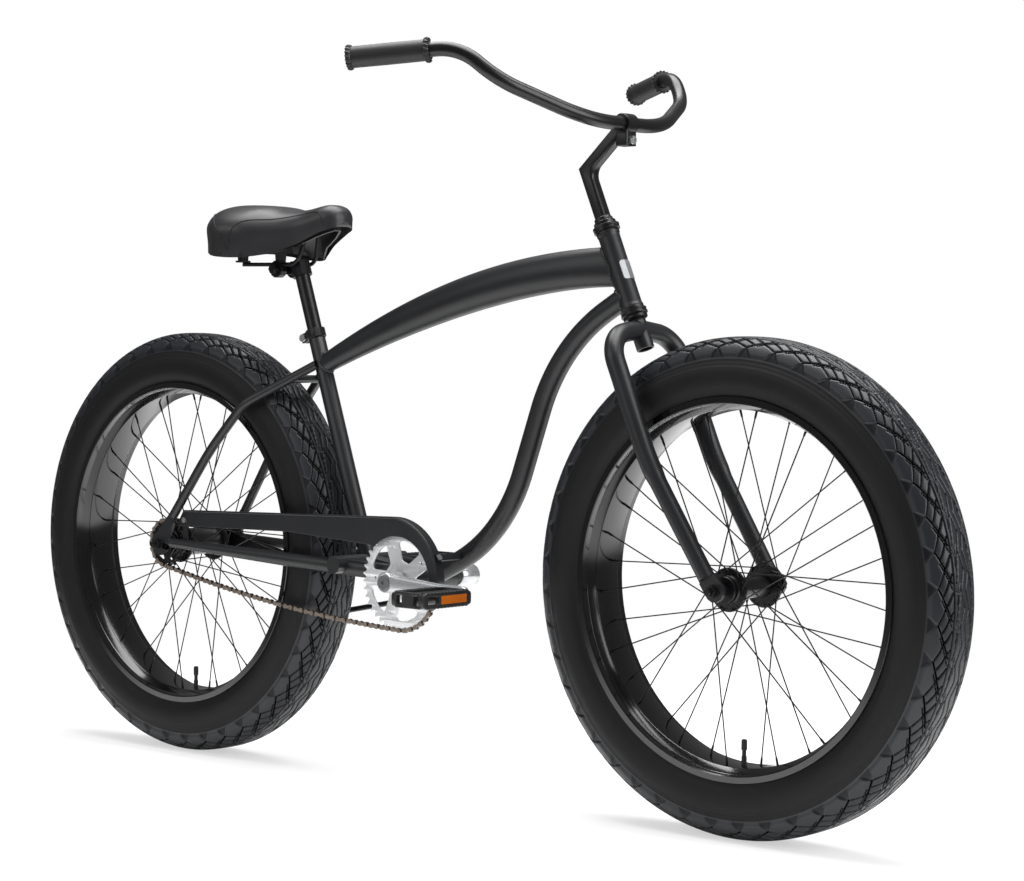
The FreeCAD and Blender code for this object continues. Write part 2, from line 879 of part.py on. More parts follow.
def chainring():
    turn = gap_turn_at(bracket_point, nearest_pin(bracket_point))
    disc = toothed_disc(chainring_teeth, chainring_pitch_radius, chainring_thickness, turn)
    first_arm = math.radians(chainring_turn)
    first_window = first_arm + math.pi / chainring_arms
    cutters = ring_windows(
        chainring_arms, chainring_window_inner, chainring_window_outer,
        chainring_window_angle, chainring_thickness, first_window,
    )
    through = ACROSS * chainring_thickness
    for arm in range(chainring_arms):
        arm_turn = first_arm + 2 * math.pi * arm / chainring_arms
        centre = vec(math.cos(arm_turn), 0, math.sin(arm_turn)) * chainring_hole_circle
        cutters.append(hexagon(centre - through, ACROSS, 2 * chainring_hole_radius, 2 * chainring_thickness))
    cutters.append(rod(through * -1, through, chainring_bore))
    return placed([disc.cut(cutters)], bracket_point - ACROSS * chain_line)


def rear_sprocket():
    """Sprocket with the driver that carries it on the axle, outside the hub shell."""
    turn = gap_turn_at(rear_axle_point, nearest_pin(rear_axle_point))
    disc = toothed_disc(sprocket_teeth, sprocket_pitch_radius, sprocket_thickness, turn)
    disc = disc.cut(ring_windows(
        sprocket_arms, sprocket_window_inner, sprocket_window_outer,
        sprocket_window_angle, sprocket_thickness, math.pi / sprocket_arms,
    ))
    driver_in = chain_line - rear_hub_half - seat_clearance
    driver_out = rear_locknut_half - chain_line - seat_clearance
    driver = rod(ACROSS * -driver_out / 2, ACROSS * driver_in, driver_radius)
    bore = rod(ACROSS * -overrun * 2, ACROSS * overrun * 2, turning_bore(cone_radius))
    return placed([disc.fuse(driver).cut(bore)], rear_axle_point - ACROSS * chain_line)


# Crank set and pedals

right_pedal_point = bracket_point + crank_forward * crank_length
left_pedal_point = bracket_point - crank_forward * crank_length


def crank_spindle():
    start = bracket_point - ACROSS * spindle_half
    return [rod(start, bracket_point + ACROSS * spindle_half, spindle_radius)]


def crank_arm(side, pedal_point):
    """Forged arm: round boss on the spindle, tapering to the eye that holds the pedal axle."""
    out = ACROSS * side
    boss_inner = crank_inner if side > 0 else chain_line + chainring_thickness / 2
    boss = rod(bracket_point + out * boss_inner, bracket_point + out * crank_outer, crank_boss_radius)
    arm_start = crank_outer - crank_arm_thickness
    arm = two_circle_link(
        bracket_point + out * arm_start, crank_boss_radius,
        pedal_point + out * arm_start, crank_end_radius, out * crank_arm_thickness,
    )
    arm = boss.fuse(arm)
    if side < 0:
        neck = rod(
            bracket_point + out * (boss_inner - 2 * chainring_thickness),
            bracket_point + out * boss_inner, chainring_bore,
        )
        arm = arm.fuse(neck)
    bore = rod(bracket_point, bracket_point + out * spindle_half, spindle_radius)
    thread = rod(pedal_point, pedal_point + out * (crank_outer + overrun), pedal_thread_radius)
    return [arm.cut([bore, thread])]


def crank_bolts():
    """Bolt through each arm into the spindle end, under a round cap."""
    pieces = []
    for side in (1, -1):
        out = ACROSS * side
        face = bracket_point + out * crank_outer
        cap = rod(face, face + out * crank_cap_thickness, crank_cap_radius)
        recess = hexagon(face + out * (crank_cap_thickness / 2), out, crank_cap_thickness * 2, overrun)
        pieces.append(cap.cut(recess))
    return pieces


pedal_inner = crank_outer + pedal_start
pedal_outer = pedal_inner + pedal_length


def pedal_axles():
    """Axle screwed into each arm's eye, running out through the pedal."""
    pieces = []
    for side, point in ((1, left_pedal_point), (-1, right_pedal_point)):
        out = ACROSS * side
        thread_start = point + out * (crank_outer - crank_arm_thickness)
        collar = point + out * (crank_outer + pedal_start / 2)
        tip = point + out * (pedal_outer - pedal_wall / 2)
        thread = rod(thread_start, collar, pedal_thread_radius)
        pieces.append(thread.fuse(rod(collar, tip, pedal_axle_radius)))
    return pieces


def rounded_block(low, high, corner):
    """Box with its upright edges rounded."""
    size = high - low
    box = Part.makeBox(size.x, size.y, size.z, low)
    upright = [edge for edge in box.Edges if edge.BoundBox.ZLength > size.z / 2]
    return box.makeFillet(corner, upright)


def pedal(side):
    """Moulded platform: an open frame with toothed rails round a barrel on the axle."""
    half_depth = pedal_depth / 2
    half_height = pedal_height / 2
    inner_half = half_depth - pedal_wall
    body = rounded_block(
        vec(-half_depth, pedal_inner, -half_height), vec(half_depth, pedal_outer, half_height), pedal_corner
    )
    opening = rounded_block(
        vec(-inner_half, pedal_inner + pedal_wall, -pedal_height),
        vec(inner_half, pedal_outer - pedal_wall, pedal_height), pedal_corner / 2,
    )
    body = body.cut(opening)
    barrel = rod(ACROSS * pedal_inner, ACROSS * pedal_outer, pedal_barrel_radius)
    body = body.fuse(barrel)
    cutters = [rod(ACROSS * (pedal_inner - overrun), ACROSS * (pedal_outer - pedal_wall / 2),
                   turning_bore(pedal_axle_radius))]
    pitch = (pedal_length - 2 * pedal_corner) / pedal_tooth_count
    notch = pitch * pedal_tooth_width_share
    for tooth in range(pedal_tooth_count):
        start = pedal_inner + pedal_corner + pitch * (tooth + 0.5) - notch / 2
        for level in (half_height - pedal_tooth_depth, -half_height - overrun):
            for rail in (-half_depth - overrun, inner_half):
                corner = vec(rail, start, level)
                cutters.append(Part.makeBox(
                    pedal_wall + overrun, notch, pedal_tooth_depth + overrun, corner))
    pocket_start = pedal_inner + reflector_inset - seat_clearance
    pocket_length = reflector_length + 2 * seat_clearance
    pocket_height = reflector_height + 2 * seat_clearance
    for face in (half_depth - reflector_thickness, -half_depth - overrun):
        corner = vec(face, pocket_start, -pocket_height / 2)
        cutters.append(Part.makeBox(reflector_thickness + overrun, pocket_length, pocket_height, corner))
    window_length = pedal_length - reflector_length - 2 * reflector_inset - pedal_wall / 2
    window_start = pedal_inner + reflector_inset + reflector_length + pedal_wall / 2
    cutters.append(Part.makeBox(
        pedal_depth + 2 * overrun, window_length, reflector_height,
        vec(-half_depth - overrun, window_start, -reflector_height / 2)))
    body = body.cut(cutters).fuse(barrel.cut(cutters[0]))
    point = left_pedal_point if side > 0 else right_pedal_point
    return placed([body if side > 0 else mirrored(body)], point)


def pedal_reflectors(side):
    """Flat amber prism set in the front and back rail."""
    half_depth = pedal_depth / 2
    start = pedal_inner + reflector_inset
    pieces = []
    for face in (half_depth - reflector_thickness, -half_depth):
        corner = vec(face, start, -reflector_height / 2)
        pieces.append(Part.makeBox(reflector_thickness, reflector_length, reflector_height, corner))
    point = left_pedal_point if side > 0 else right_pedal_point
    return placed(pieces if side > 0 else [mirrored(piece) for piece in pieces], point)


# Head tube, headset, fork

def on_steerer(height):
    """Point on the steering axis, measured up from the foot of the axle."""
    return steer_foot + steer_up * height


cup_low = fork_length
head_low = cup_low + cup_height
head_high = head_low + head_tube_length
cup_high = head_high + cup_height
locknut_low = cup_high + top_race_height
steerer_top = locknut_low + locknut_height


def head_tube():
    return [sleeve(on_steerer(head_low), on_steerer(head_high), head_tube_radius, head_tube_bore)]


def bearing_cups():
    """Pressed cups of the headset and the two screwed cups of the bottom bracket."""
    bore = turning_bore(steerer_radius)
    pieces = [
        sleeve(on_steerer(cup_low), on_steerer(head_low), cup_radius, bore),
        sleeve(on_steerer(head_high), on_steerer(cup_high), cup_radius, bore),
    ]
    for side in (1, -1):
        out = ACROSS * side
        flange_start = bracket_point + out * bottom_shell_half
        flange_end = flange_start + out * bottom_cup_flange
        screwed_start = flange_start - out * (bottom_shell_half / 2)
        bore = turning_bore(spindle_radius)
        screwed = sleeve(screwed_start, flange_start, bottom_cup_bore, bore)
        pieces.append(screwed.fuse(sleeve(flange_start, flange_end, bottom_shell_radius, bore)))
    return pieces


def headset_races():
    """Crown race below the lower cup, and the screwed race with its locknut on top."""
    low = on_steerer(cup_low - race_height)
    crown_race = sleeve(low, on_steerer(cup_low - running_clearance), race_radius, steerer_radius)
    race_low = on_steerer(cup_high + running_clearance)
    top_race = sleeve(race_low, on_steerer(locknut_low), top_race_radius, steerer_radius)
    locknut = sleeve(on_steerer(locknut_low), on_steerer(steerer_top), locknut_radius, steerer_radius)
    return [crown_race, top_race, locknut]


def steerer_tube():
    low = on_steerer(cup_low - race_height - steerer_tail)
    return [sleeve(low, on_steerer(steerer_top), steerer_radius, steerer_bore)]


def fork_place(forward, out, height):
    """Point in the fork's own frame."""
    return on_steerer(height) + steer_forward * forward + ACROSS * out


def fork_blade():
    """Unicrown blades: bent over at the top to meet the steerer, curved forward to the axle."""
    crown_height = cup_low - race_height - crown_drop
    points = [
        fork_place(0, 0, crown_height + crown_rise),
        fork_place(0, blade_offset, crown_height - crown_rise),
        fork_place(0, blade_offset, blade_bend_height),
        fork_place(blade_foot_forward, blade_foot_offset, blade_foot_height),
    ]
    blade = bent_rod(points, (crown_bend, blade_bend), blade_radius)
    core = rod(on_steerer(crown_height - crown_bend), on_steerer(cup_low), steerer_radius)
    reach = 2 * fork_length
    left_side = Part.makeBox(
        2 * reach, reach, 2 * reach, steer_foot + vec(-reach, weld_gap / 2, -reach)
    )
    blade = blade.cut(core).common(left_side)
    return max(blade.Solids, key=lambda solid: solid.Volume)


def fork_dropouts():
    """Flat plate at each blade's foot, with the axle through it."""
    inner = front_locknut_half
    foot = fork_place(blade_foot_forward, inner, blade_foot_height)
    bend = fork_place(0, inner, blade_bend_height)
    way = (foot - bend).normalize()
    side = ACROSS.cross(way).normalize()
    through = ACROSS * fork_plate_thickness
    eye_centre = front_axle_point + ACROSS * inner
    points = [
        foot + side * blade_radius,
        foot - side * blade_radius,
        eye_centre - side * fork_plate_radius,
        eye_centre + side * fork_plate_radius,
    ]
    plate = prism(points, through).fuse(rod(eye_centre, eye_centre + through, fork_plate_radius))
    plate = plate.cut([rod(eye_centre - through, eye_centre + through * 2, axle_radius), fork_blade_left])
    return [plate, mirrored(plate)]


# Stem, handlebar and grips

elbow_point = on_steerer(steerer_top + stem_elbow_rise)
bar_point = elbow_point + vec(stem_arm_forward, 0, stem_arm_rise)
arm_way = (bar_point - elbow_point).normalize()
arm_side = ACROSS.cross(arm_way).normalize() * -1
quill_bottom = steerer_top - quill_insertion


def meeting(start, way, other, other_way):
    """Point in the bicycle's plane where two straight lines cross."""
    normal = ACROSS.cross(other_way)
    return start + way * ((other - start).dot(normal) / way.dot(normal))


ear_point = bar_point - UP * stem_bolt_drop
ear_front = ear_point + FORWARD * stem_ear_half
ear_rear = ear_point - FORWARD * stem_ear_half


def stem_side_outline():
    """Side view of elbow and arm: sharp heel behind, round throat in front."""
    edge = quill_radius + weld_gap
    rear_edge = elbow_point - steer_forward * edge
    front_edge = elbow_point + steer_forward * edge
    upper_edge = elbow_point + arm_side * stem_arm_half_height
    lower_edge = elbow_point - arm_side * stem_arm_half_height
    heel = meeting(rear_edge, steer_up, upper_edge, arm_way)
    throat = meeting(front_edge, steer_up, lower_edge, arm_way)
    drop = steer_up * stem_flat_drop
    arm_run = arm_way * (bar_point - elbow_point).Length
    path = bent_path([front_edge - drop, throat, lower_edge + arm_run], (stem_throat_bend,))
    corners = [lower_edge + arm_run, upper_edge + arm_run, heel, rear_edge - drop, front_edge - drop]
    sides = [Part.LineSegment(a, b).toShape() for a, b in zip(corners, corners[1:])]
    return Part.Wire(path.Edges + sides)


def stem():
    """Quill shaft, flat-sided arm, and a split band with two ears under the bar."""
    shaft = rod(on_steerer(quill_bottom), elbow_point - steer_up * (stem_flat_drop / 2), quill_radius)
    half_width = quill_radius - stem_side_flat
    arm = Part.Face(stem_side_outline()).extrude(ACROSS * (2 * half_width))
    arm.translate(ACROSS * -half_width)
    out = ACROSS * (stem_clamp_width / 2)
    band = rod(bar_point - out, bar_point + out, bar_radius + stem_clamp_wall)
    ears = Part.makeBox(
        2 * stem_ear_half, stem_clamp_width, stem_ear_drop,
        bar_point - out - vec(stem_ear_half, 0, stem_ear_drop),
    )
    whole = shaft.fuse([arm, band, ears])
    bore = rod(bar_point - out * 2, bar_point + out * 2, turning_bore(bar_radius))
    slot = Part.makeBox(
        stem_slot, 2 * stem_clamp_width, stem_ear_drop + overrun,
        bar_point - out * 2 - vec(stem_slot / 2, 0, stem_ear_drop + overrun),
    )
    bolt_end = ear_rear + FORWARD * stem_clamp_wall / 2
    bolt_hole = rod(bolt_end, ear_front + FORWARD * overrun, clamp_bolt_radius)
    expander_hole = rod(on_steerer(quill_bottom - overrun), elbow_point - steer_up * quill_radius,
                        expander_radius + running_clearance)
    return [whole.cut([bore, slot, bolt_hole, expander_hole])]


def stem_bolts():
    """Front bolt of the bar clamp, expander bolt inside the quill, and the wedge it pulls up."""
    shank = rod(ear_rear + FORWARD * stem_clamp_wall / 2, ear_front, clamp_bolt_radius)
    head = rod(ear_front, ear_front + FORWARD * clamp_bolt_head_height, clamp_bolt_head_radius)
    socket_start = ear_front + FORWARD * (clamp_bolt_head_height / 2)
    socket = hexagon(socket_start, FORWARD, clamp_bolt_head_radius, overrun)
    bolt_low = on_steerer(quill_bottom - wedge_length)
    expander = rod(bolt_low, elbow_point - steer_up * (quill_radius + overrun), expander_radius)
    wedge = sleeve(bolt_low, on_steerer(quill_bottom - weld_gap), quill_radius, expander_radius)
    return [shank.fuse(head).cut(socket), expander, wedge]


def bar_points():
    """Corners of the left half of the bent bar, from the clamp to the grip end."""
    corner = bar_point + ACROSS * bar_centre_half
    rise = corner + vec(-bar_rise_back, bar_rise_out, bar_rise_up)
    turn = rise + vec(-bar_turn_back, bar_turn_out, bar_turn_up)
    end = turn + vec(-bar_end_back, bar_end_out, -bar_end_drop)
    return [bar_point, corner, rise, turn, end]


def handlebar():
    half = bent_rod(bar_points(), bar_bends, bar_radius)
    bore = bent_rod(bar_points(), bar_bends, bar_radius - bar_wall)
    half = half.cut(bore)
    return [half.fuse(mirrored(half)).removeSplitter()]


def grips():
    """Sewn sleeve over each end of the bar, with a laced ring at both ends and a closed cap."""
    points = bar_points()
    end = points[-1]
    way = (end - points[-2]).normalize()
    cap_end = end + way * grip_cap
    start = cap_end - way * grip_length
    body = bent_rod([start, cap_end], (), grip_radius)
    inner_ring = bent_rod([start, start + way * grip_ring_width], (), grip_ring_radius)
    outer_ring = bent_rod([cap_end - way * grip_ring_width, cap_end], (), grip_ring_radius)
    grip = body.fuse([inner_ring, outer_ring])
    grip = grip.cut(bent_rod(points, bar_bends, bar_radius))
    return [grip, mirrored(grip)]


# Frame tubes, mitred against each other as welded tubes are

head_core = rod(on_steerer(head_low), on_steerer(head_high), head_tube_radius)
seat_core = rod(seat_foot, seat_top, seat_tube_radius)
shell_core = rod(bracket_point - ACROSS * bottom_shell_half,
                 bracket_point + ACROSS * bottom_shell_half, bottom_shell_radius)


def top_tube():
    """Arched tube, deep and oval by the head tube, round and slim at the seat tube."""
    start = on_steerer(head_low + top_tube_join)
    end = seat_top - seat_up * top_tube_seat_drop
    crest = end + vec((start.x - end.x) * (1 - top_tube_crest_back_share), 0, top_tube_crest_rise)
    rings = []
    for step in range(top_tube_steps + 1):
        share = step / top_tube_steps
        rest = 1 - share
        tall = between(top_tube_run_shares, top_tube_half_heights, share)
        wide = between(top_tube_run_shares, top_tube_half_widths, share)
        centre = start * rest ** 2 + crest * (2 * share * rest) + end * share ** 2
        tangent = ((crest - start) * rest + (end - crest) * share).normalize()
        rings.append(oval(centre, ACROSS, ACROSS.cross(tangent), wide, tall))
    return [skinned(rings, False).cut([head_core, seat_core])]


def down_tube():
    """Swan-neck tube from the head tube down to the bottom bracket."""
    start = on_steerer(head_low + down_tube_join)
    points = [
        start,
        start - level_turn(down_tube_upper_angle) * down_tube_upper_run,
        bracket_point + level_turn(down_tube_lower_angle) * down_tube_lower_run,
        bracket_point,
    ]
    tube = bent_rod(points, (down_tube_upper_bend, down_tube_lower_bend), down_tube_radius)
    tube = tube.cut([head_core, shell_core, top_tube_shape])
    return [max(tube.Solids, key=lambda solid: solid.Volume)]


def bottom_bracket_shell():
    out = ACROSS * bottom_shell_half
    return [sleeve(bracket_point - out, bracket_point + out, bottom_shell_radius, bottom_cup_bore)]


stay_plane = rear_locknut_half + dropout_thickness / 2
chainstay_rear = rear_axle_point + vec(stay_rear_forward, stay_plane, stay_rear_rise)
chainstay_front = bracket_point + vec(-chainstay_front_back, chainstay_front_offset, chainstay_front_rise)


def chainstay_place(run_share, spread_share):
    """Point on the left chain stay's line."""
    flat = chainstay_rear + (chainstay_front - chainstay_rear) * run_share
    out = chainstay_front.y + (chainstay_rear.y - chainstay_front.y) * spread_share
    return vec(flat.x, out, flat.z)


def chainstay_solid():
    """Tapered tube round the tyre: small and round at the axle, tall and oval at the bracket."""
    rings = []
    sizes = zip(chainstay_run_shares, chainstay_spread_shares, chainstay_half_widths, chainstay_half_heights)
    for run_share, spread_share, wide, tall in sizes:
        centre = chainstay_place(run_share, spread_share)
        rings.append(oval(centre, ACROSS, UP, wide, tall))
    return skinned(rings, False)


def chainstay(side):
    stay = chainstay_left_solid.cut([shell_core])
    return [stay if side > 0 else mirrored(stay)]


def seatstay_points():
    """Corners of the left seat stay, from the dropout up to the seat tube."""
    foot = rear_axle_point + vec(seatstay_foot_forward, stay_plane, seatstay_foot_rise)
    waist_way = vec(seatstay_waist_forward_share, 0, seatstay_waist_rise_share)
    waist = rear_axle_point + waist_way * tyre_radius + ACROSS * seatstay_waist_offset
    knee_way = vec(seatstay_knee_forward_share, 0, seatstay_knee_rise_share)
    knee = rear_axle_point + knee_way * tyre_radius + ACROSS * seatstay_knee_offset
    top = seat_top - seat_up * seatstay_top_drop + ACROSS * seatstay_top_offset
    return [foot, waist, knee, top]


def seatstay_solid():
    bends = (seatstay_waist_bend, seatstay_knee_bend)
    stay = bent_rod(seatstay_points(), bends, seatstay_radius, slim_points)
    stay = stay.cut([seat_core, top_tube_shape])
    return max(stay.Solids, key=lambda solid: solid.Volume)


def seatstay(side):
    return [seatstay_left_solid if side > 0 else mirrored(seatstay_left_solid)]


def seat_tube():
    """Tube for the seat post, standing on the yoke behind the bottom bracket."""
    foot = seat_foot + seat_up * (yoke_rise / math.sin(math.radians(seat_angle)))
    return [sleeve(foot, seat_top, seat_tube_radius, seat_post_radius + running_clearance).cut(yoke_core)]


yoke_centre = seat_foot + seat_up * (yoke_rise / math.sin(math.radians(seat_angle)))
yoke_span = ACROSS * chainstay_rear.y
yoke_core = rod(yoke_centre - yoke_span, yoke_centre + yoke_span, yoke_radius)
keel_core = rod(yoke_centre, bracket_point, yoke_radius)


def stay_bridges():
    """Yoke under the seat tube, the short tube from it to the bracket, and the seat stay bridge."""
    yoke = yoke_core.cut([chainstay_left_solid, mirrored(chainstay_left_solid)])
    yoke = max(yoke.Solids, key=lambda solid: -abs(solid.CenterOfMass.y))
    keel = keel_core.cut([yoke_core, shell_core, seat_core])
    keel = max(keel.Solids, key=lambda solid: solid.Volume)
    foot, waist, knee, top = seatstay_points()
    middle = knee + (top - knee) * (1 - stay_bridge_share)
    across = vec(0, middle.y, 0)
    bridge = rod(middle - across * 2, middle, stay_bridge_radius)
    bridge = bridge.cut([seatstay_left_solid, mirrored(seatstay_left_solid)])
    bridge = max(bridge.Solids, key=lambda solid: solid.Volume)
    return [yoke, keel, bridge] + guard_tabs()


def rear_dropouts():
    """Plate with a slot for the axle, and tongues that end on the two stays."""
    inner = rear_axle_point + ACROSS * rear_locknut_half
    through = ACROSS * dropout_thickness
    plane = vec(0, dropout_thickness / 2, 0)
    lower_end = chainstay_rear - plane
    foot, waist, knee, top = seatstay_points()
    upper_end = foot - plane
    stay_way = (waist - foot).normalize()
    stay_side = ACROSS.cross(stay_way).normalize()
    eye = rod(inner, inner + through, dropout_eye_radius)
    lower_half = UP * chainstay_half_heights[0]
    lower = prism([
        inner + UP * dropout_eye_radius, lower_end + lower_half,
        lower_end - lower_half, inner - UP * dropout_eye_radius,
    ], through)
    upper_half = stay_side * seatstay_radius
    upper = prism([
        inner + FORWARD * dropout_eye_radius, upper_end + upper_half,
        upper_end - upper_half, inner - FORWARD * dropout_eye_radius + UP * stay_rear_rise,
    ], through)
    slot_way = level_turn(dropout_slot_angle)
    slot_radius = turning_bore(axle_radius)
    slot = two_circle_link(
        inner - through, slot_radius, inner - through + slot_way * dropout_slot_length,
        slot_radius - weld_gap, through * 3,
    )
    plate = eye.fuse([lower, upper]).cut([slot, chainstay_left_solid, seatstay_left_solid])
    plate = max(plate.Solids, key=lambda solid: solid.Volume)
    return [plate, mirrored(plate)]


def head_badge():
    """Bare curved plate on the front of the head tube."""
    middle = on_steerer(head_low + badge_rise)
    low = middle - steer_up * (badge_height / 2)
    high = middle + steer_up * (badge_height / 2)
    shell = sleeve(low, high, head_tube_radius + badge_thickness, head_tube_radius)
    half_width = ACROSS * (badge_width / 2)
    box = prism([low - half_width, low + half_width, high + half_width, high - half_width],
                steer_forward * (2 * head_tube_radius))
    corners = [edge for edge in box.Edges if edge.Length > 2 * head_tube_radius - weld_gap]
    return [shell.common(box.makeFillet(badge_corner, corners[:4]))]


# Rear brake arm and its strap

brake_outer = brake_arm_offset + brake_arm_thickness
brake_end = rear_axle_point + vec(brake_arm_length, brake_arm_offset, -brake_arm_drop)


def brake_arm():
    """Flat steel lever of the coaster brake, from the axle to the strap on the chain stay."""
    start = rear_axle_point + ACROSS * brake_arm_offset
    arm = two_circle_link(
        start, brake_cone_radius, brake_end, brake_arm_width / 2, ACROSS * brake_arm_thickness
    )
    bore = rod(start - ACROSS * overrun, start + ACROSS * overrun, cone_radius)
    hole = rod(brake_end - ACROSS * overrun, brake_end + ACROSS * overrun, guard_screw_radius)
    return [arm.cut([bore, hole])]


def stay_share_at(x):
    """Share of the chain stay's run at a given X."""
    return (x - chainstay_rear.x) / (chainstay_front.x - chainstay_rear.x)


def brake_strap():
    """Steel band round the left chain stay, screwed to the end of the brake arm."""
    share = stay_share_at(brake_end.x)
    centre = chainstay_place(share, between(chainstay_run_shares, chainstay_spread_shares, share))
    wide = between(chainstay_run_shares, chainstay_half_widths, share)
    tall = between(chainstay_run_shares, chainstay_half_heights, share)
    half = FORWARD * (strap_width / 2)
    hole_half = ACROSS * (wide + strap_thickness)

    def slice_of_stay(extra, reach):
        return prism(oval(centre - half * reach, ACROSS, UP, wide + extra, tall + extra), half * (2 * reach))

    band = slice_of_stay(weld_gap + strap_thickness, 1).cut(slice_of_stay(weld_gap, 2))
    low = brake_end.z - brake_arm_width / 2
    tab = Part.makeBox(strap_width, strap_thickness, centre.z - tall - low,
                       vec(brake_end.x - strap_width / 2, brake_outer, low))
    screw_out = brake_end + ACROSS * (brake_arm_thickness + strap_thickness)
    screw = rod(brake_end, screw_out, guard_screw_radius)
    head = rod(screw_out, screw_out + ACROSS * guard_screw_radius, guard_screw_head)
    hole = rod(brake_end - hole_half, screw_out + hole_half, guard_screw_radius)
    strap = band.fuse(tab).cut([hole, chainstay_left_solid])
    strap = max(strap.Solids, key=lambda solid: solid.Volume)
    return [strap, screw.fuse(head)]


# Chain guard

guard_inner = chain_line + chain_inner_width / 2 + 2 * chain_plate_thickness + guard_gap
guard_outer = guard_inner + guard_thickness


def guard_place(from_point, forward, rise, out):
    return vec(from_point.x + forward, -out, from_point.z + rise)


guard_round = guard_place(bracket_point, -guard_round_back, 0, guard_outer)


def chain_guard():
    """Hockey-stick plate outside the chain, with a flange over its top and front edge."""
    deep = ACROSS * guard_thickness
    slope = math.sqrt(2) / 2

    def on_cut(share_x, share_z):
        return guard_place(bracket_point, guard_cut_radius * share_x, guard_cut_radius * share_z, guard_outer)

    def on_ring(radius, share_x, share_z):
        return guard_round + vec(radius * share_x, 0, radius * share_z)

    rear_top = guard_place(rear_axle_point, guard_rear_forward, guard_rear_rise, guard_outer)
    rear_foot = guard_place(rear_axle_point, guard_foot_forward, guard_foot_rise, guard_outer)
    waist = guard_place(bracket_point, -guard_waist_back, guard_waist_rise, guard_outer)
    toe = guard_place(bracket_point, -guard_toe_back, guard_toe_rise, guard_outer)
    outer = guard_outer_radius
    top = on_ring(outer, 0, 1)
    front = on_ring(outer, 1, 0)
    edges = [
        Part.LineSegment(rear_top, top),
        Part.Arc(top, on_ring(outer, slope, slope), front),
        Part.LineSegment(front, on_cut(1, 0)),
        Part.Arc(on_cut(1, 0), on_cut(slope, slope), on_cut(-slope, slope)),
        Part.LineSegment(on_cut(-slope, slope), toe),
        Part.LineSegment(toe, waist),
        Part.LineSegment(waist, rear_foot),
        Part.LineSegment(rear_foot, rear_top),
    ]
    plate = Part.Face(Part.Wire([edge.toShape() for edge in edges])).extrude(deep)
    inner = outer - guard_thickness
    drop = UP * guard_thickness
    band = [
        Part.LineSegment(rear_top, top),
        Part.Arc(top, on_ring(outer, slope, slope), front),
        Part.LineSegment(front, on_ring(inner, 1, 0)),
        Part.Arc(on_ring(inner, 1, 0), on_ring(inner, slope, slope), on_ring(inner, 0, 1)),
        Part.LineSegment(on_ring(inner, 0, 1), rear_top - drop),
        Part.LineSegment(rear_top - drop, rear_top),
    ]
    flange = Part.Face(Part.Wire([edge.toShape() for edge in band])).extrude(ACROSS * guard_flange_depth)
    guard = plate.fuse(flange)
    return [guard.cut(guard_screw_holes())]


def guard_screws():
    """Outer face and inward way of the rear screw over the chain stay and of the front screw."""
    rear = guard_place(rear_axle_point, guard_screw_forward, guard_screw_rise, guard_outer)
    outward = level_turn(guard_front_tab_angle)
    front = guard_round + outward * guard_outer_radius + ACROSS * guard_front_screw_inset
    return [(rear, ACROSS), (front + outward * guard_tab_thickness, outward * -1)]


def guard_screw_holes():
    grip = guard_thickness + guard_tab_thickness + overrun
    return [rod(face - inward * overrun, face + inward * grip, guard_screw_radius)
            for face, inward in guard_screws()]


def guard_tabs():
    """Tab that stands on the right chain stay, and strap from the down tube to the guard's front."""
    rear = guard_screws()[0][0]
    front, front_way = guard_screws()[1]
    half = guard_tab_width / 2
    low = chainstay_rear.z
    tab = Part.makeBox(guard_tab_width, guard_tab_thickness, rear.z + half - low,
                       vec(rear.x - half, -guard_inner, low))
    tab = tab.cut(mirrored(chainstay_left_solid))
    tab = max(tab.Solids, key=lambda solid: solid.CenterOfMass.z)
    along = ACROSS.cross(front_way) * half
    start = front - ACROSS * half
    inner = start + front_way * guard_tab_thickness
    strap = prism([start - along, start + along, inner + along, inner - along], ACROSS * (half - front.y))
    strap = strap.cut(down_tube_shape)
    strap = max(strap.Solids, key=lambda solid: -solid.CenterOfMass.y)
    return [tab.cut(guard_screw_holes()), strap.cut(guard_screw_holes())]


def frame_screws():
    """Screws of the chain guard and the bolt of the seat collar."""
    pieces = []
    for face, inward in guard_screws():
        shank = rod(face, face + inward * (guard_thickness + guard_tab_thickness), guard_screw_radius)
        head = rod(face - inward * guard_thickness, face, guard_screw_head)
        pieces.append(shank.fuse(head))
    ear = seat_collar_centre + seat_back * (seat_collar_outer + seat_collar_ear / 2)
    half = ACROSS * seat_collar_ear_half
    bolt = rod(ear - half, ear + half, clamp_bolt_radius)
    cap = ACROSS * clamp_bolt_head_height
    bolt = bolt.fuse([rod(ear - half - cap, ear - half, clamp_bolt_head_radius),
                      rod(ear + half, ear + half + cap, clamp_bolt_head_radius)])
    return pieces + [bolt]


# Seat collar, post and saddle

seat_collar_outer = seat_tube_radius + seat_collar_wall
seat_collar_centre = seat_top - seat_up * (seat_collar_height / 2)


def seat_clamp():
    """Split collar round the top of the seat tube, with two ears for its bolt."""
    low = seat_top - seat_up * seat_collar_height
    ring = rod(low, seat_top, seat_collar_outer)
    half = ACROSS * seat_collar_ear_half
    reach = seat_back * (seat_collar_outer + seat_collar_ear)
    ear = prism([low - half, low + half, seat_top + half, seat_top - half], reach)
    collar = ring.fuse(ear)
    slot_half = ACROSS * (seat_collar_slot / 2)
    stretch = seat_up * overrun
    slot = prism([low - slot_half - stretch, low + slot_half - stretch,
                  seat_top + slot_half + stretch, seat_top - slot_half + stretch], reach * 2)
    bolt_at = seat_collar_centre + seat_back * (seat_collar_outer + seat_collar_ear / 2)
    hole = rod(bolt_at - half * 2, bolt_at + half * 2, clamp_bolt_radius)
    core = rod(low - stretch, seat_top + stretch, seat_tube_radius)
    return [collar.cut([slot, hole, core])]


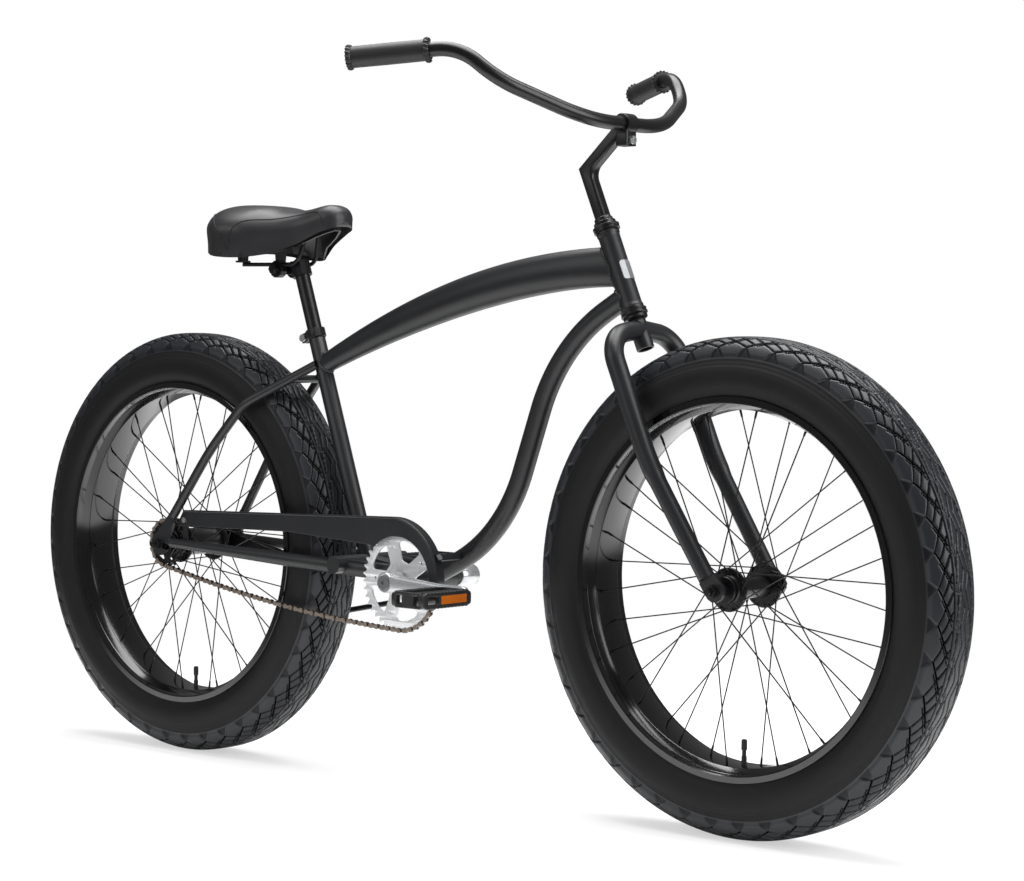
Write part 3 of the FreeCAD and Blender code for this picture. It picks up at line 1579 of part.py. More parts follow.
post_top = seat_top + seat_up * post_rise
post_clamp_centre = post_top - seat_up * (post_clamp_height / 2)
cross_bolt_point = post_clamp_centre - FORWARD * cross_bolt_back


def seat_post():
    start = seat_top - seat_up * post_insertion
    return [sleeve(start, post_top, seat_post_radius, seat_post_radius - bar_wall)]


def saddle_clamp():
    """Steel clamp round the top of the post, with the cross bolt that holds the saddle rails."""
    low = post_top - seat_up * post_clamp_height
    outer = seat_post_radius + post_clamp_wall
    band = rod(low, post_top, outer)
    barrel_out = ACROSS * cross_barrel_half
    barrel = rod(cross_bolt_point - barrel_out, cross_bolt_point + barrel_out, cross_barrel_radius)
    neck_half = ACROSS * (cross_barrel_half / 2)
    neck_rise = seat_up * cross_barrel_radius
    neck = prism([
        post_clamp_centre - neck_half - neck_rise, post_clamp_centre + neck_half - neck_rise,
        post_clamp_centre + neck_half + neck_rise, post_clamp_centre - neck_half + neck_rise,
    ], FORWARD * -cross_bolt_back)
    core = rod(low - seat_up * overrun, post_top + seat_up * overrun, seat_post_radius)
    bolt_out = ACROSS * cross_bolt_half
    bolt = rod(cross_bolt_point - bolt_out, cross_bolt_point + bolt_out, cross_bolt_radius)
    clamp = band.fuse([barrel, neck]).cut([core, bolt])
    nut_start = cross_barrel_half + washer_disc_width + 2 * seat_clearance
    pieces = [clamp, bolt]
    nut = hexagon(cross_bolt_point + ACROSS * nut_start, ACROSS, nut_across_flats,
                  cross_bolt_half - nut_start)
    nut = nut.cut(bolt)
    pieces.append(nut)
    pieces.append(mirrored(nut))
    return pieces


rail_level = cross_bolt_point.z + rail_rise
saddle_nose = cross_bolt_point.x + saddle_nose_forward
saddle_rear = saddle_nose - saddle_length
saddle_skirt = cross_bolt_point.z + saddle_skirt_rise


def saddle_section(station, width, bottom, top, inset, open_below):
    """Closed outline across the saddle: flat foot, bulging sides and a crowned top."""
    half = width - inset
    low = bottom - open_below
    high = top - inset
    tall = high - bottom
    foot = half * saddle_foot_share
    brow = half * saddle_brow_out_share
    brow_level = bottom + tall * saddle_brow_up_share
    bulge_level = bottom + tall * saddle_bulge_share

    def at(out, level):
        return vec(station, out, level)

    def along_arc(first, middle, last):
        return Part.Arc(first, middle, last).toShape().discretize(saddle_arc_points)[1:]

    right = along_arc(at(foot, low), at(half, bulge_level), at(brow, brow_level))
    crown = along_arc(at(brow, brow_level), at(0, high), at(-brow, brow_level))
    left = along_arc(at(-brow, brow_level), at(-half, bulge_level), at(-foot, low))
    return [at(foot, low)] + right + crown + left


def saddle_form(inset, open_below):
    """Skin from the broad crowned rear to the nose, drawn in all round by the inset."""
    rings = []
    rear = saddle_rear + inset
    length = saddle_length - 2 * inset
    tables = zip(saddle_station_shares, saddle_width_shares, saddle_bottom_shares, saddle_top_shares)
    for along, wide, bottom, top in tables:
        rings.append(saddle_section(
            rear + length * along, saddle_half_width * wide,
            saddle_skirt + saddle_height * bottom, saddle_skirt + saddle_height * top,
            inset * min(1, wide / saddle_width_shares[-2]), open_below,
        ))
    return skinned(rings, False)


def saddle_cover():
    """Padded cover, hollow underneath."""
    return [saddle_form(0, 0).cut(saddle_form(saddle_padding, saddle_height / 2))]


def saddle_base():
    """Moulded pan inside the cover."""
    outer = saddle_form(saddle_padding + seat_clearance, saddle_height / 2)
    inner = saddle_form(saddle_padding + seat_clearance + saddle_pan_wall, saddle_height / 2)
    return [outer.cut(inner).common(saddle_form(0, 0))]


saddle_cover_solid = saddle_cover()[0]
saddle_base_solid = saddle_base()[0]
bumper_x = cross_bolt_point.x - bumper_back
bumper_foot = rail_level + rail_radius


def under_pan(x, y):
    """Height of the pan's underside above a place on the rails."""
    low = saddle_skirt - saddle_height
    probe = rod(vec(x, y, low), vec(x, y, low + 3 * saddle_height), turning_bore(rail_radius))
    return probe.common(saddle_base_solid).BoundBox.ZMin


def rail_points(side):
    """Corners of one rail, from the lug under the nose back to the rear bumper."""
    nose_x = saddle_nose - saddle_length * (1 - saddle_station_shares[5])
    return [
        vec(nose_x, side * rail_offset / 2, under_pan(nose_x, side * rail_offset / 2) - 3 * seat_clearance),
        vec(nose_x - rail_offset, side * rail_offset, rail_level),
        vec(cross_bolt_point.x - washer_disc_radius, side * rail_offset, rail_level),
        vec(bumper_x, side * bumper_offset, rail_level),
    ]


def saddle_rails():
    """Two bent steel wires, and the two ribbed washers that grip them on the cross bolt."""
    pieces = []
    for side in (1, -1):
        wire = bent_rod(rail_points(side), (rail_offset, rail_offset), rail_radius, slim_points)
        pieces.append(wire)
        start = cross_bolt_point + ACROSS * (side * (cross_barrel_half + seat_clearance))
        end = start + ACROSS * (side * washer_disc_width)
        disc = rod(start, end, washer_disc_radius)
        hole = rod(start - ACROSS * side * overrun, end + ACROSS * side * overrun,
                   turning_bore(cross_bolt_radius))
        pieces.append(disc.cut([hole, wire]))
    return pieces


def saddle_springs():
    """Cone-shaped rubber bumper on each rail end, between a steel plate and the pan."""
    pieces = []
    for side in (1, -1):
        top = under_pan(bumper_x, side * bumper_offset) - seat_clearance
        foot = vec(bumper_x, side * bumper_offset, bumper_foot + bumper_plate_thickness)
        head = vec(foot.x, foot.y, top)
        cone = skinned([oval(foot, FORWARD, ACROSS, bumper_foot_radius, bumper_foot_radius, slim_points),
                        oval(head, FORWARD, ACROSS, bumper_top_radius, bumper_top_radius, slim_points)], True)
        margin = bumper_foot_radius + bumper_plate_margin
        plate = bent_rod([foot - UP * bumper_plate_thickness, foot], (), margin, slim_points)
        pieces.append(max(cone.cut(saddle_base_solid).Solids, key=lambda solid: solid.Volume))
        pieces.append(plate)
    return pieces


# Kickstand

stand_pivot = bracket_point + vec(-stand_pivot_back, 0, -stand_pivot_drop)
stand_eye_outer = stand_eye_inner + stand_eye_width


def kickstand_bracket():
    """Plate under the chain stays, with a block that carries the pivot pin on the left."""
    keel_share = (stand_pivot.x - yoke_centre.x) / (bracket_point.x - yoke_centre.x)
    level = yoke_centre.z + (bracket_point.z - yoke_centre.z) * keel_share - yoke_radius
    half = stand_plate_length / 2
    plate = Part.makeBox(
        stand_plate_length, 2 * stand_plate_half, stand_plate_thickness,
        vec(stand_pivot.x - half, -stand_plate_half, level - stand_plate_thickness),
    )
    block_end = stand_eye_inner - seat_clearance
    block = two_circle_link(
        stand_pivot + ACROSS * stand_block_inner, stand_eye_radius,
        vec(stand_pivot.x, stand_block_inner, level - stand_eye_radius), stand_eye_radius,
        ACROSS * (block_end - stand_block_inner),
    )
    pin = rod(stand_pivot + ACROSS * stand_block_inner,
              stand_pivot + ACROSS * (stand_eye_outer + stand_plate_thickness), stand_pin_radius)
    head = rod(stand_pivot + ACROSS * (stand_eye_outer + seat_clearance),
               stand_pivot + ACROSS * (stand_eye_outer + stand_plate_thickness), stand_eye_radius)
    whole = plate.fuse([block, pin, head])
    return [whole.cut([chainstay_left_solid, mirrored(chainstay_left_solid), keel_core])]


def kickstand_leg():
    """Bent steel leg on its eye, with a rubber foot, folded back along the chain stay."""
    eye = sleeve(stand_pivot + ACROSS * stand_eye_inner, stand_pivot + ACROSS * stand_eye_outer,
                 stand_eye_radius, turning_bore(stand_pin_radius))
    start = stand_pivot + ACROSS * (stand_eye_inner + stand_rod_radius)
    knee = start + vec(-stand_knee_back, stand_knee_out, -stand_knee_drop)
    foot = knee + vec(-stand_foot_back, stand_foot_out, -stand_foot_drop)
    leg = bent_rod([start, knee, foot], (stand_bend,), stand_rod_radius, slim_points)
    leg = leg.cut(rod(stand_pivot, stand_pivot + ACROSS * (stand_eye_outer + overrun),
                      turning_bore(stand_pin_radius)))
    leg = max(leg.Solids, key=lambda solid: solid.Volume)
    way = (foot - knee).normalize()
    cap = bent_rod([foot - way * stand_foot_length, foot], (), stand_foot_radius, slim_points)
    return [eye.fuse(leg), cap.cut(leg)]


# Shapes that several pieces are mitred against
top_tube_shape = top_tube()[0]
down_tube_shape = down_tube()[0]
chainstay_left_solid = chainstay_solid()
seatstay_left_solid = seatstay_solid()
fork_blade_left = fork_blade()

tyre_solid = tyre()
rim_solid = rim()
inner_tube_solid = inner_tube()
front_hub = hub(front_hub_half, front_flange_offset, front_flange_radius, front_barrel_radius)
rear_hub = hub(rear_hub_half, rear_flange_offset, rear_flange_radius, rear_barrel_radius)

nodes = {
    "head_tube": head_tube(),
    "top_tube": [top_tube_shape],
    "down_tube": [down_tube_shape],
    "seat_tube": seat_tube(),
    "bottom_bracket_shell": bottom_bracket_shell(),
    "chainstay_right": chainstay(-1),
    "chainstay_left": chainstay(1),
    "seatstay_right": seatstay(-1),
    "seatstay_left": seatstay(1),
    "stay_bridges": stay_bridges(),
    "rear_dropouts": rear_dropouts(),
    "head_badge": head_badge(),
    "bearing_cups": bearing_cups(),
    "seat_clamp": seat_clamp(),
    "frame_screws": frame_screws(),
    "chain_guard": chain_guard(),
    "rear_axle": placed(axle(rear_locknut_half, dropout_thickness, rear_hub_half), rear_axle_point),
    "rear_axle_nuts": placed(axle_nuts(rear_locknut_half, dropout_thickness), rear_axle_point),
    "brake_arm": brake_arm(),
    "brake_strap": brake_strap(),
    "chain": chain(),
    "kickstand_bracket": kickstand_bracket(),
    "kickstand_leg": kickstand_leg(),
    "steerer_tube": steerer_tube(),
    "fork_blades": [fork_blade_left, mirrored(fork_blade_left)],
    "fork_dropouts": fork_dropouts(),
    "headset_races": headset_races(),
    "front_axle": placed(axle(front_locknut_half, fork_plate_thickness, front_hub_half), front_axle_point),
    "front_axle_nuts": placed(axle_nuts(front_locknut_half, fork_plate_thickness), front_axle_point),
    "stem": stem(),
    "stem_bolts": stem_bolts(),
    "handlebar": handlebar(),
    "grips": grips(),
    "front_tyre": placed([tyre_solid], front_axle_point),
    "front_rim": placed([rim_solid], front_axle_point),
    "front_inner_tube": placed([inner_tube_solid], front_axle_point),
    "front_spokes": placed(spokes(front_flange_offset, front_flange_radius), front_axle_point),
    "front_hub": placed(front_hub, front_axle_point),
    "rear_tyre": placed([tyre_solid], rear_axle_point),
    "rear_rim": placed([rim_solid], rear_axle_point),
    "rear_inner_tube": placed([inner_tube_solid], rear_axle_point),
    "rear_spokes": placed(spokes(rear_flange_offset, rear_flange_radius), rear_axle_point),
    "rear_hub": placed(rear_hub, rear_axle_point),
    "rear_sprocket": rear_sprocket(),
    "crank_spindle": crank_spindle(),
    "crank_arm_right": crank_arm(-1, right_pedal_point),
    "crank_arm_left": crank_arm(1, left_pedal_point),
    "chainring": chainring(),
    "crank_bolts": crank_bolts(),
    "pedal_axles": pedal_axles(),
    "pedal_right": pedal(-1),
    "pedal_left": pedal(1),
    "pedal_reflectors_right": pedal_reflectors(-1),
    "pedal_reflectors_left": pedal_reflectors(1),
    "seat_post": seat_post(),
    "saddle_clamp": saddle_clamp(),
    "saddle_cover": [saddle_cover_solid],
    "saddle_base": [saddle_base_solid],
    "saddle_rails": saddle_rails(),
    "saddle_springs": saddle_springs(),
}

os.makedirs("parts", exist_ok=True)
for name, pieces in nodes.items():
    shape = pieces[0] if len(pieces) == 1 else Part.makeCompound(pieces)
    shape.exportStep("parts/" + name + ".step")
    print(name, len(shape.Solids), round(shape.Volume), shape.isValid())
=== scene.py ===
import math

import bmesh
import bpy
import numpy as np
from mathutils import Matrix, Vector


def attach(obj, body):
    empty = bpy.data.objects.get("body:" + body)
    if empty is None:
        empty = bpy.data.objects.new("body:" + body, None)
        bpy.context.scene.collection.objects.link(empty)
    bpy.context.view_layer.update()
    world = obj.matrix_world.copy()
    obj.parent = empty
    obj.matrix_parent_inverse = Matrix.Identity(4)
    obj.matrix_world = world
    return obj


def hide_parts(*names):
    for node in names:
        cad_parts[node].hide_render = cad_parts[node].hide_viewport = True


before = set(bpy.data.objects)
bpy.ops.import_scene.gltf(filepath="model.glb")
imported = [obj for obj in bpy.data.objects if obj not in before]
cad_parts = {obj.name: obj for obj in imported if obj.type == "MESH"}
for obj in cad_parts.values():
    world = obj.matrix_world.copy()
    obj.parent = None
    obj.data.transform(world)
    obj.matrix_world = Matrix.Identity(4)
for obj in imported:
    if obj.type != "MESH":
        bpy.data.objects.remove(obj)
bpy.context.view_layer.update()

# Main frame tubes: butted steel tube, bent on a mandrel, mitred and welded, then powder coated.
# The arched top tube is pressed to a deep oval by the head tube and runs out round at the seat tube.
MM = 0.001


def mm(*values):
    """Lengths in millimetres as one array in metres."""
    return np.array(values) * MM


ACROSS = np.array([0.0, 1.0, 0.0])
UPWARD = np.array([0.0, 0.0, 1.0])
FORWARD = np.array([1.0, 0.0, 0.0])
TYRE_RADIUS = 373.0
HALF_WHEELBASE = 605.0
REAR_AXLE = mm(-HALF_WHEELBASE, 0.0, TYRE_RADIUS)
FRONT_AXLE = mm(HALF_WHEELBASE, 0.0, TYRE_RADIUS)
BRACKET = mm(-35.6715, 0.0, 344.0)
HEAD_ANGLE = math.radians(66.8)
STEER_UP = np.array([-math.cos(HEAD_ANGLE), 0.0, math.sin(HEAD_ANGLE)])
STEER_AHEAD = np.array([math.sin(HEAD_ANGLE), 0.0, math.cos(HEAD_ANGLE)])
SEAT_ANGLE = math.radians(71.3)
SEAT_UP = np.array([-math.cos(SEAT_ANGLE), 0.0, math.sin(SEAT_ANGLE)])
FORK_OFFSET = 39.5
STEER_FOOT = FRONT_AXLE - STEER_AHEAD * FORK_OFFSET * MM
SEAT_SETBACK = 133
SEAT_TUBE_LENGTH = 432
SEAT_FOOT = BRACKET - FORWARD * SEAT_SETBACK * MM
SEAT_TOP = SEAT_FOOT + SEAT_UP * SEAT_TUBE_LENGTH * MM


def linear(code):
    """sRGB hex to linear light: c / 12.92 below 0.04045, above it ((c + 0.055) / 1.055) to the power 2.4."""
    c = np.array([int(code[place:place + 2], 16) for place in (1, 3, 5)]) / 255
    return tuple(np.where(c <= 0.04045, c / 12.92, ((c + 0.055) / 1.055) ** 2.4)) + (1.0,)


def node(tree, kind, settings=(), sockets=(), links=()):
    """One shader node with its settings, its socket values and the outputs that feed it."""
    made = tree.nodes.new(kind)
    for name, value in dict(settings).items():
        setattr(made, name, value)
    for name, value in dict(sockets).items():
        made.inputs[name].default_value = value
    for name, output in dict(links).items():
        tree.links.new(output, made.inputs[name])
    return made


def emptied_tree(owner):
    """The owner's node tree without the nodes that it starts with."""
    owner.use_nodes = True
    owner.node_tree.nodes.clear()
    return owner.node_tree


# Sockets of a colour mix: its factor and its two tones, and the blend that it gives.
FACTOR, FIRST_TONE, SECOND_TONE, BLEND = 0, 6, 7, 2


def finish(name, colour, shade, grain_mm, roughness, spread, bump_mm,
           metallic=0.0, coat=0.0, patch_mm=60.0):
    """Two tones mixed by a broad noise, which also swings the roughness by the spread, and a bump from a fine
    noise. Grains of about a millimetre are drawn coarser than life, as finer ones would not show."""
    material = bpy.data.materials.new(name)
    tree = emptied_tree(material)
    place = node(tree, "ShaderNodeTexCoord").outputs["Object"]
    patches = node(tree, "ShaderNodeTexNoise", sockets={"Scale": 1 / (patch_mm * MM), "Detail": 3.0},
                   links={"Vector": place})
    grain = node(tree, "ShaderNodeTexNoise", sockets={"Scale": 1 / (grain_mm * MM), "Detail": 2.0},
                 links={"Vector": place})
    tone = node(tree, "ShaderNodeMix", {"data_type": "RGBA"},
                {FIRST_TONE: linear(colour), SECOND_TONE: linear(shade)}, {FACTOR: patches.outputs["Fac"]})
    rough = node(tree, "ShaderNodeMapRange",
                 sockets={"To Min": roughness - spread, "To Max": roughness + spread},
                 links={"Value": patches.outputs["Fac"]})
    bump = node(tree, "ShaderNodeBump", sockets={"Strength": 0.6, "Distance": bump_mm * MM},
                links={"Height": grain.outputs["Fac"]})
    shader = node(tree, "ShaderNodeBsdfPrincipled",
                  sockets={"Metallic": metallic, "Coat Weight": coat, "Coat Roughness": 0.12},
                  links={"Base Color": tone.outputs[BLEND], "Roughness": rough.outputs["Result"],
                         "Normal": bump.outputs["Normal"]})
    node(tree, "ShaderNodeOutputMaterial", links={"Surface": shader.outputs["BSDF"]})
    return material


def paint(material, *names):
    """Gives CAD solids that stay in view their material."""
    for name in names:
        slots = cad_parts[name].data.materials
        slots.clear()
        slots.append(material)


def soften(width_mm, *names):
    """Small bevel on the edges of CAD solids that stay in view, so that they catch the light."""
    for name in names:
        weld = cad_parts[name].modifiers.new("weld", "WELD")
        weld.merge_threshold = 0.01 * MM
        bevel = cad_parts[name].modifiers.new("bevel", "BEVEL")
        bevel.width = width_mm * MM
        bevel.segments = 2
        bevel.limit_method = "ANGLE"
        bevel.angle_limit = math.radians(40)


# Powder coat: a satin, faintly pebbled skin of polyester, dark charcoal with a soft broad highlight.
powder_coat = finish("charcoal_powder_coat", "#121315", "#191a1d", 1.6, 0.38, 0.04, 0.015)


def surface(name, grids, material, body, stands_for=(), wrap_u=False, sharp=38.0):
    """Quads between neighbours of each (u, v) grid of points, joined round in v, and in u where that wraps.
    Ends of an open u are closed by one face. Edges sharper than the angle stay crisp."""
    points, quads, ends, start = [], [], [], 0
    for grid in grids:
        index = np.arange(grid.shape[0] * grid.shape[1]).reshape(grid.shape[:2]) + start
        a, b = (index, np.roll(index, -1, 0)) if wrap_u else (index[:-1], index[1:])
        c, d = np.roll(b, -1, 1), np.roll(a, -1, 1)
        quads.append(np.stack([a, b, c, d], -1).reshape(-1, 4))
        if not wrap_u:
            ends += [index[0].tolist(), index[-1][::-1].tolist()]
        points.append(grid.reshape(-1, 3))
        start += grid.shape[0] * grid.shape[1]
    mesh = bpy.data.meshes.new(name)
    mesh.from_pydata(np.concatenate(points), [], np.concatenate(quads).tolist() + ends)
    mesh.polygons.foreach_set("use_smooth", np.ones(len(mesh.polygons), dtype=bool))
    return dress(name, mesh, material, body, stands_for, sharp)


def placed(name, data):
    """A new object of the scene, at the origin."""
    thing = bpy.data.objects.new(name, data)
    bpy.context.scene.collection.objects.link(thing)
    return thing


def dress(name, mesh, material, body, stands_for=(), sharp=38.0):
    """A finished mesh as a piece: faces turned outwards, its material and the body that it rides on, with the CAD
    nodes that it stands for hidden."""
    work = bmesh.new()
    work.from_mesh(mesh)
    bmesh.ops.recalc_face_normals(work, faces=work.faces)
    work.to_mesh(mesh)
    work.free()
    mesh.set_sharp_from_angle(angle=math.radians(sharp))
    piece = placed(name, mesh)
    mesh.materials.append(material)
    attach(piece, body)
    if stands_for:
        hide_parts(*stands_for)
    return piece


def full_turn(count):
    """Even steps through one full turn, the last one short of its end."""
    return np.linspace(0, 2 * np.pi, count, endpoint=False)


def squarer(value, power):
    """The value's size to the power, with its sign: a power below 1 swells a circle towards a square."""
    return np.sign(value) * np.abs(value) ** power


def tube(path, wide, tall, sides=28, reference=ACROSS, power=1.0):
    """Closed section carried along a path: centre + side * wide * cos + rise * tall * sin, the side being
    the reference squared to the path. A power below 1 makes the section squarer."""
    path = np.asarray(path)
    along = np.gradient(path, axis=0)
    along /= np.linalg.norm(along, axis=1, keepdims=True)
    side = reference - along * (along @ reference)[:, None]
    side /= np.linalg.norm(side, axis=1, keepdims=True)
    rise = np.cross(along, side)
    turn = full_turn(sides)[None, :, None]
    wide = np.broadcast_to(wide, len(path))[:, None, None]
    tall = np.broadcast_to(tall, len(path))[:, None, None]
    return (path[:, None] + side[:, None] * wide * squarer(np.cos(turn), power)
            + rise[:, None] * tall * squarer(np.sin(turn), power))


def rod(path, radius_mm, sides, reference=ACROSS):
    """Tube with a round section, of one radius or of one for each point of the path."""
    return tube(path, radius_mm * MM, radius_mm * MM, sides, reference)


def mitred(grid, centre, axis, radius_mm, last=True):
    """Tube end cut to sit round another tube: rings within 1 mm of the other's wall are dropped, and each line
    of the last free ring runs on towards the old end until it meets that wall, or beside it the plane of the
    axis."""
    grid = grid if last else grid[::-1]
    ahead = np.cross(ACROSS, axis)
    off = (grid - centre) @ ahead
    side = np.sign(off[len(off) // 2].mean())
    wall = side * np.sqrt(np.maximum((radius_mm * MM) ** 2 - grid[..., 1] ** 2, 0))
    free = np.flatnonzero(np.min((off - wall) * side, axis=1) > 1 * MM)[-1]
    line = grid[-1] - grid[free]
    met = grid[free] + line * ((wall[-1] - off[free]) / (line @ ahead))[:, None]
    grid = np.concatenate([grid[:free + 1], met[None]])
    return grid if last else grid[::-1]


def unit(vector):
    """The vector's direction: the vector over its length."""
    return vector / np.linalg.norm(vector)


def rounded(corners, radii, steps=14):
    """Straight runs joined by arcs: each arc's centre lies on the corner's bisector at radius / sin(half angle),
    and the arc is centre + first * cos + square * sin, first reaching to its start and square along its way."""
    corners = [np.asarray(corner) for corner in corners]
    path = [corners[0]]
    for before, corner, after, radius in zip(corners, corners[1:], corners[2:], radii):
        back, ahead = unit(before - corner), unit(after - corner)
        half = math.acos(float(np.clip(back @ ahead, -1, 1))) / 2
        centre = corner + unit(back + ahead) * radius / math.sin(half)
        first = corner + back * radius / math.tan(half) - centre
        last = corner + ahead * radius / math.tan(half) - centre
        square = unit(last - first * math.cos(math.pi - 2 * half)) * radius
        sweep = np.linspace(0, math.pi - 2 * half, steps)[:, None]
        path += list(centre + first * np.cos(sweep) + square * np.sin(sweep))
    path.append(corners[-1])
    return np.array(path)


def on_steerer(height_mm):
    """Point on the steering axis, up from the foot beside the axle."""
    return STEER_FOOT + STEER_UP * height_mm * MM


def level(degrees):
    """Direction in the bicycle's plane, turned up from straight ahead."""
    return np.array([math.cos(math.radians(degrees)), 0.0, math.sin(math.radians(degrees))])


# The top tube's middle line is a parabola from the head tube to the seat tube; its height and width are given
# in millimetres at six even shares of its length, and a smooth curve runs through them.
TUBE_WALL = 1.6
HEAD_MITRE, SEAT_MITRE = 16, 13.5
share = np.linspace(0, 1, 60)
top_start = on_steerer(538)
top_end = SEAT_TOP - SEAT_UP * 65 * MM
top_crest = top_end + np.array([(top_start[0] - top_end[0]) * 0.551, 0, 160 * MM])
rest = (1 - share)[:, None]
top_path = top_start * rest ** 2 + top_crest * 2 * rest * share[:, None] + top_end * share[:, None] ** 2
table = np.linspace(0, 1, 6)
top_tall = np.polyval(np.polyfit(table, [31.0, 31.5, 31.0, 29.5, 24.0, 16.5], 4), share) * MM
top_wide = np.polyval(np.polyfit(table, [15.5, 22.0, 24.0, 23.0, 18.0, 13.8], 4), share) * MM
walls = []
for thinner in (0, TUBE_WALL * MM):
    wall = tube(top_path, top_wide - thinner, top_tall - thinner, 40)
    wall = mitred(wall, STEER_FOOT, STEER_UP, HEAD_MITRE, False)
    walls.append(mitred(wall, SEAT_TOP, SEAT_UP, SEAT_MITRE))
surface("top_tube_arched", [np.concatenate([walls[0], walls[1][::-1]])], powder_coat, "frame",
        ["top_tube"], wrap_u=True)

DOWN_RADIUS = 16.7
down_start = on_steerer(490)
down_neck = down_start - level(30) * 158 * MM
down_foot = BRACKET + level(26) * 182 * MM
down_path = rounded([down_start, down_neck, down_foot, BRACKET + level(26) * 12 * MM],
                    (296 * MM, 268 * MM), 40)
walls = [mitred(rod(down_path, radius, 32), STEER_FOOT, STEER_UP, HEAD_MITRE, False)
         for radius in (DOWN_RADIUS, DOWN_RADIUS - TUBE_WALL)]
surface("down_tube_swan_neck", [np.concatenate([walls[0], walls[1][::-1]])], powder_coat, "frame",
        ["down_tube"], wrap_u=True)


def lathe(profile_mm, centre, axis, sides=64):
    """Turned ring: each (along, out) pair of the profile swept round the axis."""
    profile = np.asarray(profile_mm) * MM
    first = unit(np.cross(axis, ACROSS if abs(axis[1]) < 0.9 else UPWARD))
    second = np.cross(axis, first)
    turn = full_turn(sides)[:, None]
    way = (first * np.cos(turn) + second * np.sin(turn))[None]
    return centre + axis * profile[:, :1, None] + way * profile[:, 1:, None]


head_profile = [(465, 15), (465, 17.6), (466, 18.2), (471, 18.2), (472.5, 17.2), (477, 17), (585, 17),
                (589.5, 17.2), (591, 18.2), (596, 18.2), (597, 17.6), (597, 15)]
surface("head_tube_turned", [lathe(head_profile, STEER_FOOT, STEER_UP)], powder_coat, "frame",
        ["head_tube"], wrap_u=True)
seat_profile = [(30, 12.8), (30, 14.3), (SEAT_TUBE_LENGTH - 1, 14.3), (SEAT_TUBE_LENGTH, 13.8),
                (SEAT_TUBE_LENGTH, 12.8)]
surface("seat_tube_drawn", [lathe(seat_profile, SEAT_FOOT, SEAT_UP, 40)], powder_coat, "frame",
        ["seat_tube"], wrap_u=True)

# Weld beads: the rippled steel fillet that hand welding leaves where two tubes meet, under the powder coat.
# They run round both tubes at the head tube, and round the top tube at the seat tube.
HEAD_SEAM, SEAT_SEAM = 17.2, 14.5


def run_length(points):
    """Length of the line through the points, from the first to each of them."""
    return np.concatenate([[0], np.cumsum(np.linalg.norm(np.diff(points, axis=0), axis=1))])


def along_line(at, run, points):
    """Each column of the points at places along their run, straight between neighbours."""
    return np.stack([np.interp(at, run, column) for column in points.T], -1)


def weld_bead(ring, across, radius_mm=2.3, count=168, ripple=6):
    """Closed line through the joint's points in even steps, its round section swelling and shrinking by a tenth
    in each ripple of so many steps."""
    ring = np.vstack([ring, ring[:1]])
    run = run_length(ring)
    path = along_line(np.linspace(0, run[-1], count, endpoint=False), run, ring)
    path = np.vstack([path[-1:], path, path[:1]])
    radius_mm = radius_mm * (1 + 0.1 * np.sin(np.arange(count + 2) * 2 * np.pi / ripple))
    return rod(path, radius_mm, 8, across)[1:-1]


top_skin = tube(top_path, top_wide, top_tall, 40)
down_skin = rod(down_path, DOWN_RADIUS, 40)
top_ring = mitred(top_skin, STEER_FOOT, STEER_UP, HEAD_SEAM, False)[0]
down_ring = mitred(down_skin, STEER_FOOT, STEER_UP, HEAD_SEAM, False)[0]
seat_ring = mitred(top_skin, SEAT_TOP, SEAT_UP, SEAT_SEAM)[-1]
beads = [weld_bead(top_ring, level(0)), weld_bead(down_ring, level(30)), weld_bead(seat_ring, level(20))]
surface("frame_weld_beads", beads, powder_coat, "frame", wrap_u=True)

# Rear triangle: tapered chain stays bowed round the wide tyre, and slim bent seat stays.
# They are swaged tube, welded to the flat dropout plates and to the yoke behind the bracket.
stay_rear = REAR_AXLE + mm(30, 85.5, 3)
stay_front = BRACKET + mm(-16, 39, 8)
run_shares = [0.0, 0.23, 0.47, 0.69, 0.84, 1.0]
spread = np.interp(share, run_shares, [1.0, 0.91, 0.765, 0.61, 0.315, 0.0])
# A running mean over fifteen points rounds the corners of the bow.
spread = np.convolve(np.pad(spread, 7, "reflect", reflect_type="odd"), np.ones(15) / 15, "valid")
stay_path = stay_rear + (stay_front - stay_rear) * share[:, None]
stay_path[:, 1] = stay_front[1] + (stay_rear[1] - stay_front[1]) * spread
stay_wide = np.interp(share, run_shares, [8.0, 8.5, 9.0, 10.0, 10.0, 10.0]) * MM
stay_tall = np.interp(share, run_shares, [8.0, 9.5, 11.5, 13.0, 14.0, 14.0]) * MM
seat_stay_path = rounded([
    REAR_AXLE + mm(33, 85.5, 50), REAR_AXLE + mm(118, 77, 168),
    REAR_AXLE + mm(199, 73, 251), SEAT_TOP - SEAT_UP * 62 * MM + ACROSS * 12 * MM,
], (480 * MM, 62 * MM), 20)
OTHER_SIDE = np.array([1.0, -1.0, 1.0])
for side_name, flip in (("left", np.ones(3)), ("right", OTHER_SIDE)):
    surface("chain_stay_" + side_name, [tube(stay_path * flip, stay_wide, stay_tall, 28)],
            powder_coat, "frame", ["chainstay_" + side_name])
    seat_stay = mitred(rod(seat_stay_path * flip, 8, 20, UPWARD), SEAT_TOP, SEAT_UP, SEAT_MITRE)
    surface("seat_stay_" + side_name, [seat_stay],
            powder_coat, "frame", ["seatstay_" + side_name])
shell_profile = [(-50, 17.5), (-50, 20.4), (-49.4, 21), (49.4, 21), (50, 20.4), (50, 17.5)]
surface("bottom_bracket_shell_turned", [lathe(shell_profile, BRACKET, ACROSS, 48)],
        powder_coat, "frame", ["bottom_bracket_shell"], wrap_u=True)
paint(powder_coat, "rear_dropouts", "stay_bridges", "kickstand_bracket")
soften(0.8, "rear_dropouts", "kickstand_bracket")

# Fork: two unicrown blades of steel tube, bent over to meet the steerer and welded to it, with flat dropouts at
# their feet. It has the same powder coat as the frame.


